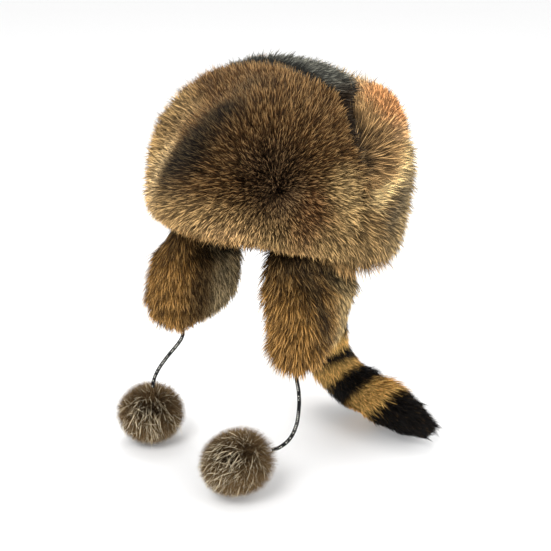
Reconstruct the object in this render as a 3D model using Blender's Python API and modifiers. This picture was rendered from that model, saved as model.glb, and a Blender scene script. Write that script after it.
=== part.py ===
# Fur hat with two ears, ear flaps, corded pompoms and a ringed tail.
# Metres, +Z up, front towards -Y, the wearer's left is +X.
# The origin is the middle of the head opening, at the rim of the hide.
import math

import bmesh
import bpy
from mathutils import Matrix, Vector

# The whole crown leans back on the head, so its front rim stands higher than its nape.
LEAN = math.radians(9.0)
SEAT_GAP = 0.0004          # clearance between pieces that touch
FACET_GAP = 0.0007         # the same, where both faces are curved and faceted

# Hide: the hollow skin that the head goes into
HIDE_HALF_WIDTH = 0.0885
HIDE_HALF_LENGTH = 0.1020
HIDE_HEIGHT = 0.138
HIDE_STRAIGHT = 0.030      # height of the upright part above the rim
HIDE_ROUNDNESS = 2.4
HIDE_WALL = 0.0025
HIDE_COLUMNS = 44
HIDE_ANGLES = (12, 24, 36, 48, 59, 69, 79, 90)
HIDE_CLEARANCE = 0.0012    # between the hide and the fur round it
HIDE_SEAT = (HIDE_HALF_WIDTH + HIDE_CLEARANCE, HIDE_HALF_LENGTH + HIDE_CLEARANCE)
FUR_INNER_SHARES = (0.99, 0.96, 0.91, 0.84, 0.75, 0.63, 0.49, 0.33, 0.17, 0.0)

# Crown fur: the outline that the tips of the fur reach
FUR_HALF_WIDTH = 0.124
FUR_HALF_LENGTH = 0.145
FUR_MIDDLE = 0.058         # height of the widest level above the rim
FUR_DOME = 0.110           # height of the dome above that level
FUR_SKIRT = 0.078          # how far the fur hangs below that level, at the sides and back
FRONT_LIFT = 0.026         # how much shorter it hangs in front
FUR_ROUNDNESS = 2.1
SKIRT_TUCK = 0.10          # share of the width that the skirt draws in
DOME_SHARE = 0.68          # share of the rows that lie on the dome
LOCK_ROWS = 8
LOCK_COLUMNS = 40
LOCK_DEPTH = 0.011
LOCK_OVERHANG = 0.95       # how far a lock reaches to the next root
VALLEY_SHARE = 0.6         # depth between two tips, as a share of the lock's depth
HEM_VALLEY_SHARE = 0.3     # the same along the lower edge
PANEL_EDGE_DROP = {-1: -0.004, 1: 0.004}   # the front fur stands up at the strip, the back fur dips
PANEL_EDGE_REACH = 0.034
UNDERSIDE = ((0.83, 0.8), (0.785, 0.35))   # share of the half width, share of the way to the foot
UNDERSIDE_RISE = 0.006
FUR_FOOT = 0.0035          # height of the fur's inner edge above the rim

# Dark strip that runs from ear to ear over the top, between the front and back fur
SEAM_Y = -0.006
SEAM_SWEEP = 0.018         # how far it runs forward towards the sides
STRIP_HALF_WIDTH = 0.022
STRIP_NARROW = 0.005
STRIP_END = 0.0017
STRIP_CLEARANCE = 0.0013
STRIP_REACH = 0.93        # share of the half width that the strip reaches
STRIP_RISE = 0.002         # above the fur's outline on top
STRIP_SINK = 0.009         # below it in the creases at the sides

# Ears: round lobes on the back fur
EAR_PLACE = (0.79, 0.20, 0.575)     # direction from the middle of the dome
EAR_HALF_WIDTH = 0.030
EAR_HALF_HEIGHT = 0.033
EAR_DEPTH = 0.016
EAR_UPWARD = 0.55          # how much the lobe points up instead of straight out
EAR_COLUMNS = 16
EAR_RINGS = 5

# Ear flaps: furry pads that hang from the hide's rim
FLAP_LENGTH = 0.123
FLAP_WIDTH = 0.108
FLAP_THICKNESS = 0.064
FLAP_INSET = 0.0070        # from the hide's outside to the flap's middle, at the rim
FLAP_FORWARD = math.tan(math.radians(3))
FLAP_FLARE = math.tan(math.radians(2))
FLAP_SPLAY = math.tan(math.radians(12))     # the front edge stands out, the rear edge lies in
FLAP_MIDDLE_Y = -0.029
FLAP_COLUMNS = 20
FLAP_LOCK_DEPTH = 0.006
# share of the length, of the width and of the thickness; the rear edge's tuck as a share of the width
FLAP_SECTIONS = (
    (0.00, 0.72, 0.42, 0.00),
    (0.10, 0.86, 0.50, 0.00),
    (0.19, 0.95, 0.68, 0.00),
    (0.32, 1.00, 1.00, 0.01),
    (0.38, 1.00, 1.00, 0.01),
    (0.52, 0.99, 1.00, 0.02),
    (0.58, 0.98, 1.00, 0.03),
    (0.71, 0.94, 0.98, 0.05),
    (0.77, 0.90, 0.94, 0.07),
    (0.87, 0.78, 0.84, 0.11),
    (0.92, 0.66, 0.74, 0.14),
    (0.97, 0.46, 0.54, 0.18),
    (1.00, 0.12, 0.16, 0.20),
)

# Tail: hangs from the nape and turns to the wearer's left where it lies
TAIL_ROOT_INSET = 0.008    # from the hide's outside to the tail's middle
TAIL_RADIUS = 0.030
TAIL_COLUMNS = 16
TAIL_LOCK_DEPTH = 0.005
# path from the root, as shares of the tail's reach: sideways, back, down
TAIL_HANG_LENGTH = 0.220
TAIL_PATH = (
    (0.000, 0.000, 0.000), (-0.016, 0.012, 0.141), (-0.040, 0.028, 0.281),
    (-0.070, 0.044, 0.415), (-0.094, 0.056, 0.545), (-0.092, 0.066, 0.668),
    (-0.050, 0.068, 0.776), (0.048, 0.064, 0.850), (0.184, 0.050, 0.876),
    (0.328, 0.034, 0.890), (0.468, 0.022, 0.912), (0.604, 0.032, 0.944),
)
# share of the way along, share of the radius
TAIL_SECTIONS = (
    (0.00, 0.50), (0.06, 0.62), (0.13, 0.80), (0.19, 0.88), (0.27, 0.97), (0.33, 0.95),
    (0.41, 1.02), (0.47, 0.97), (0.55, 1.04), (0.61, 0.97), (0.68, 1.02), (0.74, 0.92),
    (0.80, 1.00), (0.85, 0.88), (0.90, 0.80), (0.94, 0.60), (0.98, 0.36), (1.00, 0.12),
)

# Cords: braided, one from the foot of each flap
CORD_DIAMETER = 0.004
CORD_STEP = 0.009
CORD_BEVEL_RESOLUTION = 2
# points from the exit, sideways, back and up
LEFT_ROUTE = (
    (0.0000, 0.0000, 0.0000), (0.0000, 0.0000, -0.0066), (0.0006, 0.0010, -0.0133),
    (0.0011, 0.0019, -0.0200), (0.0014, 0.0024, -0.0267), (0.0015, 0.0025, -0.0334),
    (0.0013, 0.0022, -0.0401), (0.0010, 0.0017, -0.0468), (0.0005, 0.0008, -0.0535),
    (-0.0005, -0.0009, -0.0600), (-0.0019, -0.0033, -0.0661), (-0.0038, -0.0066, -0.0714),
    (-0.0063, -0.0109, -0.0755), (-0.0092, -0.0159, -0.0783), (-0.0124, -0.0214, -0.0796),
)
RIGHT_ROUTE = (
    (0.0000, 0.0000, 0.0000), (0.0000, 0.0000, -0.0048), (-0.0008, -0.0012, -0.0092),
    (-0.0024, -0.0032, -0.0135), (-0.0044, -0.0059, -0.0177), (-0.0066, -0.0087, -0.0219),
    (-0.0088, -0.0115, -0.0261), (-0.0109, -0.0143, -0.0304), (-0.0130, -0.0168, -0.0347),
    (-0.0149, -0.0193, -0.0391), (-0.0166, -0.0215, -0.0436), (-0.0180, -0.0234, -0.0482),
    (-0.0192, -0.0249, -0.0530), (-0.0199, -0.0260, -0.0579), (-0.0204, -0.0264, -0.0629),
)

# Pompoms: half length along the cord, half width across it
LEFT_POMPOM = (0.039, 0.033)
RIGHT_POMPOM = (0.031, 0.037)
POMPOM_COLUMNS = 18
POMPOM_RINGS = 9
POMPOM_LOCK_DEPTH = 0.005
POMPOM_CAP = math.radians(7)


def clear_scene():
    for thing in list(bpy.data.objects):
        bpy.data.objects.remove(thing, do_unlink=True)


def material(name, colour, roughness):
    made = bpy.data.materials.new(name)
    made.use_nodes = True
    shader = made.node_tree.nodes["Principled BSDF"]
    shader.inputs["Base Color"].default_value = (*colour, 1)
    shader.inputs["Roughness"].default_value = roughness
    shader.inputs["Metallic"].default_value = 0
    return made


def add_object(name, data, finish, parent=None):
    made = bpy.data.objects.new(name, data)
    bpy.data.collections["fur_hat"].objects.link(made)
    data.materials.append(finish)
    made.parent = parent
    return made


def loft(name, sections, finish, parent=None, capped=True):
    """A surface through sections of equally many points, closed around each section."""
    mesh = bmesh.new()
    rows = [[mesh.verts.new(point) for point in section] for section in sections]
    count = len(rows[0])
    for near, far in zip(rows, rows[1:]):
        for i in range(count):
            j = (i + 1) % count
            mesh.faces.new((near[i], near[j], far[j], far[i]))
    if capped:
        mesh.faces.new(list(reversed(rows[0])))
        mesh.faces.new(rows[-1])
    bmesh.ops.triangulate(mesh, faces=mesh.faces[:])
    bmesh.ops.recalc_face_normals(mesh, faces=mesh.faces[:])
    data = bpy.data.meshes.new(name)
    mesh.to_mesh(data)
    mesh.free()
    return add_object(name, data, finish, parent)


def leaned(point):
    """A point of the upright crown, placed as the crown leans."""
    return Matrix.Rotation(-LEAN, 3, "X") @ Vector(point)


def ease(share):
    share = min(max(share, 0.0), 1.0)
    return share * share * (3 - 2 * share)


def lock_depth(column, row_is_tip, lock_row, valley=VALLEY_SHARE):
    """Depth below the outline as a share: none at a tip, all of it at a root."""
    if not row_is_tip:
        return 1.0
    return 0.0 if (column + lock_row) % 2 == 0 else valley


def hide_height(ring):
    """Height of the hide's outside where a point's distance from the axis is this share."""
    rise = HIDE_HEIGHT - HIDE_STRAIGHT
    ring = min(ring, 1.0)
    return HIDE_STRAIGHT + rise * (1 - ring**HIDE_ROUNDNESS) ** (1 / HIDE_ROUNDNESS)


def hide_rows():
    """(share of the half width, height) of each level of the hide, from the top down."""
    rows = []
    for angle in HIDE_ANGLES:
        ring = math.sin(math.radians(angle)) ** (2 / HIDE_ROUNDNESS)
        rows.append((ring, hide_height(ring)))
    rows.append((1.0, HIDE_STRAIGHT / 2))
    return rows


def make_hide(finish, parent):
    """An open dome with a wall that Solidify builds inwards."""
    mesh = bmesh.new()
    top = mesh.verts.new((0, 0, HIDE_HEIGHT))
    rows = []
    for ring, height in hide_rows() + [(1.0, 0.0)]:
        row = []
        for i in range(HIDE_COLUMNS):
            turn = 2 * math.pi * i / HIDE_COLUMNS
            x = HIDE_HALF_WIDTH * ring * math.cos(turn)
            y = HIDE_HALF_LENGTH * ring * math.sin(turn)
            row.append(mesh.verts.new((x, y, height)))
        rows.append(row)
    for i in range(HIDE_COLUMNS):
        j = (i + 1) % HIDE_COLUMNS
        mesh.faces.new((top, rows[0][i], rows[0][j]))
        for upper, lower in zip(rows, rows[1:]):
            mesh.faces.new((upper[i], lower[i], lower[j], upper[j]))
    data = bpy.data.meshes.new("crown_hide")
    mesh.to_mesh(data)
    mesh.free()
    hide = add_object("crown_hide", data, finish, parent)
    wall = hide.modifiers.new("wall", "SOLIDIFY")
    wall.thickness = HIDE_WALL
    wall.offset = -1
    wall.use_even_offset = True
    for face in data.polygons:
        face.use_smooth = True
    return hide


def dome_height(ring, foot, rise, roundness):
    """Height of a dome over a point whose distance from the axis is this share."""
    ring = min(ring, 1.0)
    return foot + rise * (1 - ring**roundness) ** (1 / roundness)


def on_fur(x, y):
    """The point of the fur's outline over a place seen from above."""
    ring = math.hypot(x / FUR_HALF_WIDTH, y / FUR_HALF_LENGTH)
    return Vector((x, y, dome_height(ring, FUR_MIDDLE, FUR_DOME, FUR_ROUNDNESS)))


def on_hide_seat(x, y):
    """The point just outside the hide over a place seen from above."""
    ring = math.hypot(x / HIDE_SEAT[0], y / HIDE_SEAT[1])
    return Vector((x, y, hide_height(ring) + HIDE_CLEARANCE))


def fur_outward(point):
    """Unit vector that points out of the fur's outline at a point near it."""
    x, y, z = point
    rise = max(z - FUR_MIDDLE, 0.0) / FUR_DOME**2
    return Vector((x / FUR_HALF_WIDTH**2, y / FUR_HALF_LENGTH**2, rise)).normalized()


def seam_y(reach):
    """Distance back of the seam, at this share of the half width from the middle."""
    return SEAM_Y - SEAM_SWEEP * ease((abs(reach) - 0.45) / 0.45)


def strip_half_width(reach):
    """Half width of the dark strip at this share of the half width from the middle."""
    narrowing = ease((abs(reach) - 0.42) / 0.28)
    ending = ease((abs(reach) - 0.84) / 0.14)
    wide = STRIP_HALF_WIDTH + (STRIP_NARROW - STRIP_HALF_WIDTH) * narrowing
    return wide + (STRIP_END - wide) * ending


def skirt_foot(y):
    """Height of the fur's lower edge at this distance back."""
    return FUR_MIDDLE - FUR_SKIRT + FRONT_LIFT * ease(-y / FUR_HALF_LENGTH)


def seam_turn(side, column):
    """Angle round the outline of a column, from one end of the seam to the other."""
    start = math.asin((seam_y(1.0) + side * STRIP_END) / FUR_HALF_LENGTH)
    sweep = math.pi - 2 * start if side > 0 else -(math.pi + 2 * start)
    return start + sweep * column / LOCK_COLUMNS


def seam_rung(side, column, clearance=0.0):
    """Outer and inner end of the wall between strip and fur at a column."""
    reach = STRIP_REACH * math.cos(math.pi * column / LOCK_COLUMNS)
    y = seam_y(reach) + side * (strip_half_width(reach) - clearance)
    return on_fur(FUR_HALF_WIDTH * reach, y), on_hide_seat(HIDE_SEAT[0] * reach, y)


def panel_section(side, column):
    """One section of a fur panel: down its outside in locks, under its foot and up the hide."""
    turn = seam_turn(side, column)
    outer, inner = seam_rung(side, column)
    brow = Vector((FUR_HALF_WIDTH * math.cos(turn), FUR_HALF_LENGTH * math.sin(turn), 0))
    points = [outer + (inner - outer).normalized() * PANEL_EDGE_DROP[side]]
    for lock_row in range(LOCK_ROWS):
        for reach, is_tip in ((0.0, False), (LOCK_OVERHANG, True)):
            share = (lock_row + reach) / LOCK_ROWS
            if share == 0:
                continue
            if is_tip and lock_row == LOCK_ROWS - 1:
                share = 1.0
            down = max(share - DOME_SHARE, 0) / (1 - DOME_SHARE)
            if down == 0:
                along = math.sin(math.pi / 2 * share / DOME_SHARE) ** (2 / FUR_ROUNDNESS)
                point = on_fur(*(outer.xy + (brow.xy - outer.xy) * along))
            else:
                point = brow * (1 - SKIRT_TUCK * down**2.5)
                point.z = FUR_MIDDLE + (skirt_foot(brow.y) - FUR_MIDDLE) * down
            across = point.x / FUR_HALF_WIDTH
            from_edge = abs(point.y - seam_y(across)) - strip_half_width(across)
            near_edge = (1 - ease(from_edge / PANEL_EDGE_REACH)) * (1 - ease(2 * down))
            edge_drop = PANEL_EDGE_DROP[side] * near_edge
            valley = HEM_VALLEY_SHARE if lock_row == LOCK_ROWS - 1 else VALLEY_SHARE
            depth = LOCK_DEPTH * lock_depth(column, is_tip, lock_row, valley) + edge_drop
            points.append(point - fur_outward(point) * depth)
    foot_height = skirt_foot(brow.y) + UNDERSIDE_RISE
    for ring, share in UNDERSIDE:
        height = FUR_FOOT + (foot_height - FUR_FOOT) * share
        points.append(Vector((brow.x * ring, brow.y * ring, height)))
    foot = Vector((HIDE_SEAT[0] * math.cos(turn), HIDE_SEAT[1] * math.sin(turn), 0))
    for height in (FUR_FOOT, HIDE_STRAIGHT / 2, HIDE_STRAIGHT):
        points.append(foot + Vector((0, 0, height)))
    for share in FUR_INNER_SHARES:
        points.append(on_hide_seat(*(inner.xy + (foot.xy - inner.xy) * share)))
    if column in (0, LOCK_COLUMNS):
        for point in points:
            point.y = seam_y(1.0) + side * STRIP_END
    return points


def strip_section(column):
    """One section of the strip: over its top and back under it."""
    reach = STRIP_REACH * math.cos(math.pi * column / LOCK_COLUMNS)
    sink = STRIP_SINK * ease((abs(reach) - 0.50) / 0.28)
    top, foot = [], []
    for side in (-1, 0, 1):
        outer, inner = seam_rung(side, column, STRIP_CLEARANCE)
        down = (inner - outer).normalized()
        rise = STRIP_RISE if side == 0 else 0.0
        top.append(outer + down * (sink - rise))
        foot.append(inner)
    return top + foot[::-1]


def make_crown_fur(brown, grey, parent):
    """Front and back fur, and the strip that lies between their walls."""
    columns = range(LOCK_COLUMNS + 1)
    loft("fur_front", [panel_section(-1, column) for column in columns], brown, parent)
    loft("fur_back", [panel_section(1, column) for column in columns], brown, parent)
    loft("crown_strip", [strip_section(column) for column in columns], grey, parent)


def on_dome(point):
    """The point of the fur's dome in the same direction from the dome's middle."""
    middle = Vector((0, 0, FUR_MIDDLE))
    away = Vector(point) - middle
    ring = math.hypot(away.x / FUR_HALF_WIDTH, away.y / FUR_HALF_LENGTH)
    power = FUR_ROUNDNESS
    stretch = (ring**power + (max(away.z, 0.0) / FUR_DOME) ** power) ** (1 / power)
    return middle + away / stretch


def make_ear(name, side, finish, parent):
    """A lobe whose underside follows the dome and whose top stands out and up from it."""
    middle = Vector((0, 0, FUR_MIDDLE))
    place = Vector((side * EAR_PLACE[0], EAR_PLACE[1], EAR_PLACE[2]))
    centre = on_dome(middle + place)
    out = fur_outward(centre)
    along = Vector((0, 0, 1)).cross(out).normalized() * side
    upward = out.cross(along).normalized() * side
    lean = (out + Vector((0, 0, EAR_UPWARD))).normalized()
    radii = [math.sin(math.pi / 2 * (i + 0.5) / EAR_RINGS) for i in range(EAR_RINGS)]
    sections = []
    for on_top in (False, True):
        order = radii + [1.0] if not on_top else list(reversed(radii))
        for index, radius in enumerate(order):
            section = []
            for i in range(EAR_COLUMNS):
                turn = 2 * math.pi * i / EAR_COLUMNS
                flat = centre + along * (EAR_HALF_WIDTH * radius * math.cos(turn))
                flat += upward * (EAR_HALF_HEIGHT * radius * math.sin(turn))
                foot = on_dome(flat)
                if not on_top:
                    lift = FACET_GAP if radius < 1 else FACET_GAP + EAR_DEPTH * 0.12
                    section.append(foot + fur_outward(foot) * lift)
                    continue
                rise = EAR_DEPTH * (1 - radius**2.6) ** 0.5
                notch = 0.18 if (i + index) % 2 else 0.0
                section.append(foot + lean * (FACET_GAP + rise * (1 - notch)))
            sections.append(section)
    return loft(name, sections, finish, parent)


def rim_x(y, inset):
    """Half width at this distance back, inset from the hide's outside."""
    share = min(abs(y) / HIDE_HALF_LENGTH, 0.99)
    return (HIDE_HALF_WIDTH * math.sqrt(1 - share * share)) - inset


def flap_point(side, y, out, down, level_y):
    """A point of a flap: under the leaned rim at the top, and level rows from there down."""
    bend = level_y + (y - level_y) * max(1 - 1.6 * down, 0)
    splay = FLAP_SPLAY * (FLAP_MIDDLE_Y - y) * ease(2 * down)
    rim = leaned((side * (rim_x(bend, FLAP_INSET) + out + splay), y, -SEAT_GAP))
    rim_middle = leaned((0, level_y, -SEAT_GAP))
    levelled = ease(down / 0.4)
    height = rim.z + (rim_middle.z - rim.z) * levelled
    return Vector((
        rim.x + side * FLAP_FLARE * FLAP_LENGTH * down,
        rim.y - FLAP_FORWARD * FLAP_LENGTH * down,
        height - FLAP_LENGTH * down,
    ))


def flap_foot(side):
    """The middle of the flat foot of a flap, where its cord comes out."""
    tuck = FLAP_SECTIONS[-1][3]
    y = FLAP_MIDDLE_Y - tuck * FLAP_WIDTH
    return flap_point(side, y, 0.0, 1.0, y)


def make_flap(name, side, finish):
    sections = []
    last = len(FLAP_SECTIONS) - 1
    for row, (down, wide, thick, tuck) in enumerate(FLAP_SECTIONS):
        centre_y = FLAP_MIDDLE_Y - tuck * FLAP_WIDTH
        is_tip = row % 2 == 0
        section = []
        for i in range(FLAP_COLUMNS):
            turn = 2 * math.pi * i / FLAP_COLUMNS
            depth = FLAP_LOCK_DEPTH * lock_depth(i, is_tip, row // 2)
            if row in (0, last):
                depth = 0.0
            half_width = FLAP_WIDTH / 2 * wide - depth
            half_thickness = FLAP_THICKNESS / 2 * thick - depth
            # a squared oval: flat faces and round edges
            square_cos = math.copysign(abs(math.cos(turn)) ** 0.8, math.cos(turn))
            square_sin = math.copysign(abs(math.sin(turn)) ** 0.8, math.sin(turn))
            y = centre_y + half_width * square_cos
            out = half_thickness * square_sin
            section.append(flap_point(side, y, out, down, centre_y))
        sections.append(section)
    return loft(name, sections, finish)


def smooth_point(points, share):
    """A point on the smooth curve through evenly spaced points (Catmull-Rom)."""
    spans = len(points) - 1
    place = min(max(share, 0.0), 1.0) * spans
    index = min(int(place), spans - 1)
    t = place - index
    near, far = points[index], points[index + 1]
    before = points[index - 1] if index else near * 2 - far
    after = points[index + 2] if index + 2 <= spans else far * 2 - near
    return 0.5 * (
        2 * near
        + (far - before) * t
        + (2 * before - 5 * near + 4 * far - after) * t * t
        + (3 * near - before - 3 * far + after) * t * t * t
    )


def frame_along(direction):
    """Two unit vectors square to a direction."""
    helper = Vector((1, 0, 0)) if abs(direction.x) < 0.8 else Vector((0, 1, 0))
    across = direction.cross(helper).normalized()
    return across, direction.cross(across).normalized()


def make_tail(finish):
    root = leaned((0, HIDE_HALF_LENGTH - TAIL_ROOT_INSET, -SEAT_GAP))
    path = [
        root + Vector((x, y, -down)) * TAIL_HANG_LENGTH
        for x, y, down in TAIL_PATH
    ]
    sections = []
    last = len(TAIL_SECTIONS) - 1
    for row, (along, wide) in enumerate(TAIL_SECTIONS):
        centre = smooth_point(path, along)
        ahead = smooth_point(path, along + 0.02) - smooth_point(path, along - 0.02)
        direction = ahead.normalized() if row else leaned((0, 0, -1))
        across = direction.cross(Vector((0, 1, 0))).normalized()
        square = direction.cross(across).normalized()
        is_tip = row % 2 == 0
        section = []
        for i in range(TAIL_COLUMNS):
            turn = 2 * math.pi * i / TAIL_COLUMNS
            depth = TAIL_LOCK_DEPTH * lock_depth(i, is_tip, row // 2)
            if row in (0, last):
                depth = 0.0
            radius = TAIL_RADIUS * wide - depth * min(wide, 1)
            spoke = across * math.cos(turn) + square * math.sin(turn)
            section.append(centre + spoke * radius)
        sections.append(section)
    return loft("tail", sections, finish)


def make_cord(name, exit_point, route, finish):
    """The cord's tube, along the smooth curve through its route. Returns its end and last direction."""
    points = [exit_point + Vector(step) for step in route]
    length = sum((b - a).length for a, b in zip(points, points[1:]))
    count = max(6, round(length / CORD_STEP))
    line = [smooth_point(points, i / count) for i in range(count + 1)]
    curve = bpy.data.curves.new(name, "CURVE")
    curve.dimensions = "3D"
    curve.bevel_depth = CORD_DIAMETER / 2
    curve.bevel_resolution = CORD_BEVEL_RESOLUTION
    curve.use_fill_caps = True
    spline = curve.splines.new("POLY")
    spline.points.add(len(line) - 1)
    for knot, point in zip(spline.points, line):
        knot.co = (*point, 1)
    add_object(name, curve, finish)
    return line[-1], (line[-1] - line[-2]).normalized()


def make_pompom(name, end, direction, halves, finish):
    """A ball of locks on the end of a cord, whose pole is a small flat seat for it."""
    half_length, half_width = halves
    seat = end + direction * SEAT_GAP
    centre = seat + direction * (half_length * math.cos(POMPOM_CAP))
    across, square = frame_along(direction)
    sections = []
    for row in range(POMPOM_RINGS + 1):
        polar = POMPOM_CAP + (math.pi - 2 * POMPOM_CAP) * row / POMPOM_RINGS
        section = []
        for i in range(POMPOM_COLUMNS):
            turn = 2 * math.pi * i / POMPOM_COLUMNS
            depth = POMPOM_LOCK_DEPTH if (i + row) % 2 else 0.0
            if row in (0, POMPOM_RINGS):
                depth = 0.0
            shrink = 1 - depth / half_width
            spoke = across * math.cos(turn) + square * math.sin(turn)
            point = centre - direction * (half_length * shrink * math.cos(polar))
            section.append(point + spoke * (half_width * shrink * math.sin(polar)))
        sections.append(section)
    return loft(name, sections, finish)


def main():
    clear_scene()
    collection = bpy.data.collections.new("fur_hat")
    bpy.context.scene.collection.children.link(collection)
    lean = bpy.data.objects.new("crown_lean", None)
    collection.objects.link(lean)
    lean.rotation_euler = (-LEAN, 0, 0)
    hide = material("hide", (0.24, 0.19, 0.14), 0.75)
    brown = material("brown_fur", (0.17, 0.11, 0.055), 0.8)
    grey = material("grey_fur", (0.085, 0.085, 0.08), 0.8)
    orange = material("ear_fur", (0.36, 0.19, 0.085), 0.8)
    tail = material("tail_fur", (0.20, 0.13, 0.05), 0.8)
    ball = material("pompom_fur", (0.13, 0.09, 0.055), 0.8)
    braid = material("braid", (0.02, 0.02, 0.022), 0.45)
    make_hide(hide, lean)
    make_crown_fur(brown, grey, lean)
    make_ear("ear_left", 1, orange, lean)
    make_ear("ear_right", -1, orange, lean)
    make_flap("flap_left", 1, brown)
    make_flap("flap_right", -1, brown)
    make_tail(tail)
    ties = (("left", 1, LEFT_ROUTE, LEFT_POMPOM), ("right", -1, RIGHT_ROUTE, RIGHT_POMPOM))
    for name, side, route, halves in ties:
        exit_point = flap_foot(side) - Vector((0, 0, SEAT_GAP))
        end, direction = make_cord("cord_" + name, exit_point, route, braid)
        make_pompom("pompom_" + name, end, direction, halves, ball)


main()
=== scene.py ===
# %% [markdown]
# # A fur hat with ear flaps, corded pompoms and a ringed tail
# The hat is deep, long-haired fur sewn on a hide cap. Nothing on it is smooth, so its look
# is made of hair: about 600,000 thin blades that grow out of hidden underfur.
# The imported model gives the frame, the sizes and the places of every piece.

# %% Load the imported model
import math

import bmesh
import bpy
import numpy as np
from mathutils import Matrix, Vector


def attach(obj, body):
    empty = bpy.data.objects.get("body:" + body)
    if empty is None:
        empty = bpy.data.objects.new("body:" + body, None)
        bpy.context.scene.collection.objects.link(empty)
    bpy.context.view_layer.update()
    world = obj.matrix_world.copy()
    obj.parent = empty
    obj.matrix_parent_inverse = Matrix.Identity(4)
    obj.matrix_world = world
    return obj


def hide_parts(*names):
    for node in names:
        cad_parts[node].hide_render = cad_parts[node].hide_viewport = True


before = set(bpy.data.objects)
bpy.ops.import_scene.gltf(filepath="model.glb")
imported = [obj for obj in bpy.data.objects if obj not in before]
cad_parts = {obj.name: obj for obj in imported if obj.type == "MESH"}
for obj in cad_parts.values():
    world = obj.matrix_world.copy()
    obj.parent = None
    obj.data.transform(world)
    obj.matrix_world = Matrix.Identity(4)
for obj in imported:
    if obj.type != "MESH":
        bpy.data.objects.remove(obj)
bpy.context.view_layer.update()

# %% [markdown]
# ## Camera
# The hat is seen from its front left and a little from above, from just over a metre away.

# %% Camera
VIEW_TURN = math.radians(42)
VIEW_RISE = math.radians(20)
VIEW_DISTANCE = 1.15
VIEW_LENS = 75.1
VIEW_ASIDE = (0.0005, -0.0485)

back = Vector((
    math.sin(VIEW_TURN) * math.cos(VIEW_RISE),
    -math.cos(VIEW_TURN) * math.cos(VIEW_RISE),
    math.sin(VIEW_RISE),
))
right = Vector((math.cos(VIEW_TURN), math.sin(VIEW_TURN), 0))
upward = back.cross(right)
camera = bpy.data.objects.new("camera", bpy.data.cameras.new("camera"))
bpy.context.scene.collection.objects.link(camera)
camera.data.lens = VIEW_LENS
camera.data.sensor_width = 36
camera.data.clip_start = 0.05
camera.location = back * VIEW_DISTANCE + right * VIEW_ASIDE[0] + upward * VIEW_ASIDE[1]
camera.rotation_euler = Matrix((right, upward, back)).transposed().to_euler()
bpy.context.scene.camera = camera
print("camera at", [round(v, 4) for v in camera.location])

# %% [markdown]
# ## Floor and studio light
# A pale floor under the pompoms, a large soft key light from the front left, and a bright
# even surrounding light, as in a plain product picture.

# %% Floor and lights
FLOOR_HEIGHT = -0.2425    # just below the lowest hair
FLOOR_HALF = 30


def link(thing):
    bpy.context.scene.collection.objects.link(thing)
    return thing


def plain_finish(name, colour, roughness):
    made = bpy.data.materials.new(name)
    made.use_nodes = True
    shader = made.node_tree.nodes["Principled BSDF"]
    shader.inputs["Base Color"].default_value = (*colour, 1)
    shader.inputs["Roughness"].default_value = roughness
    return made


floor_mesh = bpy.data.meshes.new("studio_floor")
corners = ((-1, -1), (1, -1), (1, 1), (-1, 1))
floor_mesh.from_pydata(
    [(x * FLOOR_HALF, y * FLOOR_HALF, FLOOR_HEIGHT) for x, y in corners], [], [(0, 1, 2, 3)],
)
floor = link(bpy.data.objects.new("studio_floor", floor_mesh))
floor_mesh.materials.append(plain_finish("pale floor", (0.93, 0.93, 0.93), 0.9))


def softbox(name, place, aim, size, power):
    lamp = bpy.data.lights.new(name, "AREA")
    lamp.shape = "SQUARE"
    lamp.size = size
    lamp.energy = power
    made = link(bpy.data.objects.new(name, lamp))
    made.location = place
    made.rotation_euler = (Vector(place) - Vector(aim)).to_track_quat("Z", "Y").to_euler()
    return made


# name, place, aim, width in metres, power in watts
softbox("key_light", (0.5, -1.5, 1.5), (0, 0, 0.03), 0.9, 26)
softbox("fill_light", (1.8, 0.3, 0.9), (0, 0, 0), 1.0, 9)
softbox("top_light", (-0.5, 0.4, 1.8), (0, 0, 0.05), 1.0, 14)

world = bpy.context.scene.world or bpy.data.worlds.new("studio")
bpy.context.scene.world = world
world.use_nodes = True
sky = world.node_tree.nodes["Background"]
sky.inputs["Color"].default_value = (1, 1, 1, 1)
sky.inputs["Strength"].default_value = 1.0
bpy.context.scene.view_settings.view_transform = "Standard"

# %% [markdown]
# ## Shader maths as Python
# A small class wraps a socket, so that a sum of values reads as a sum.

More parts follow.
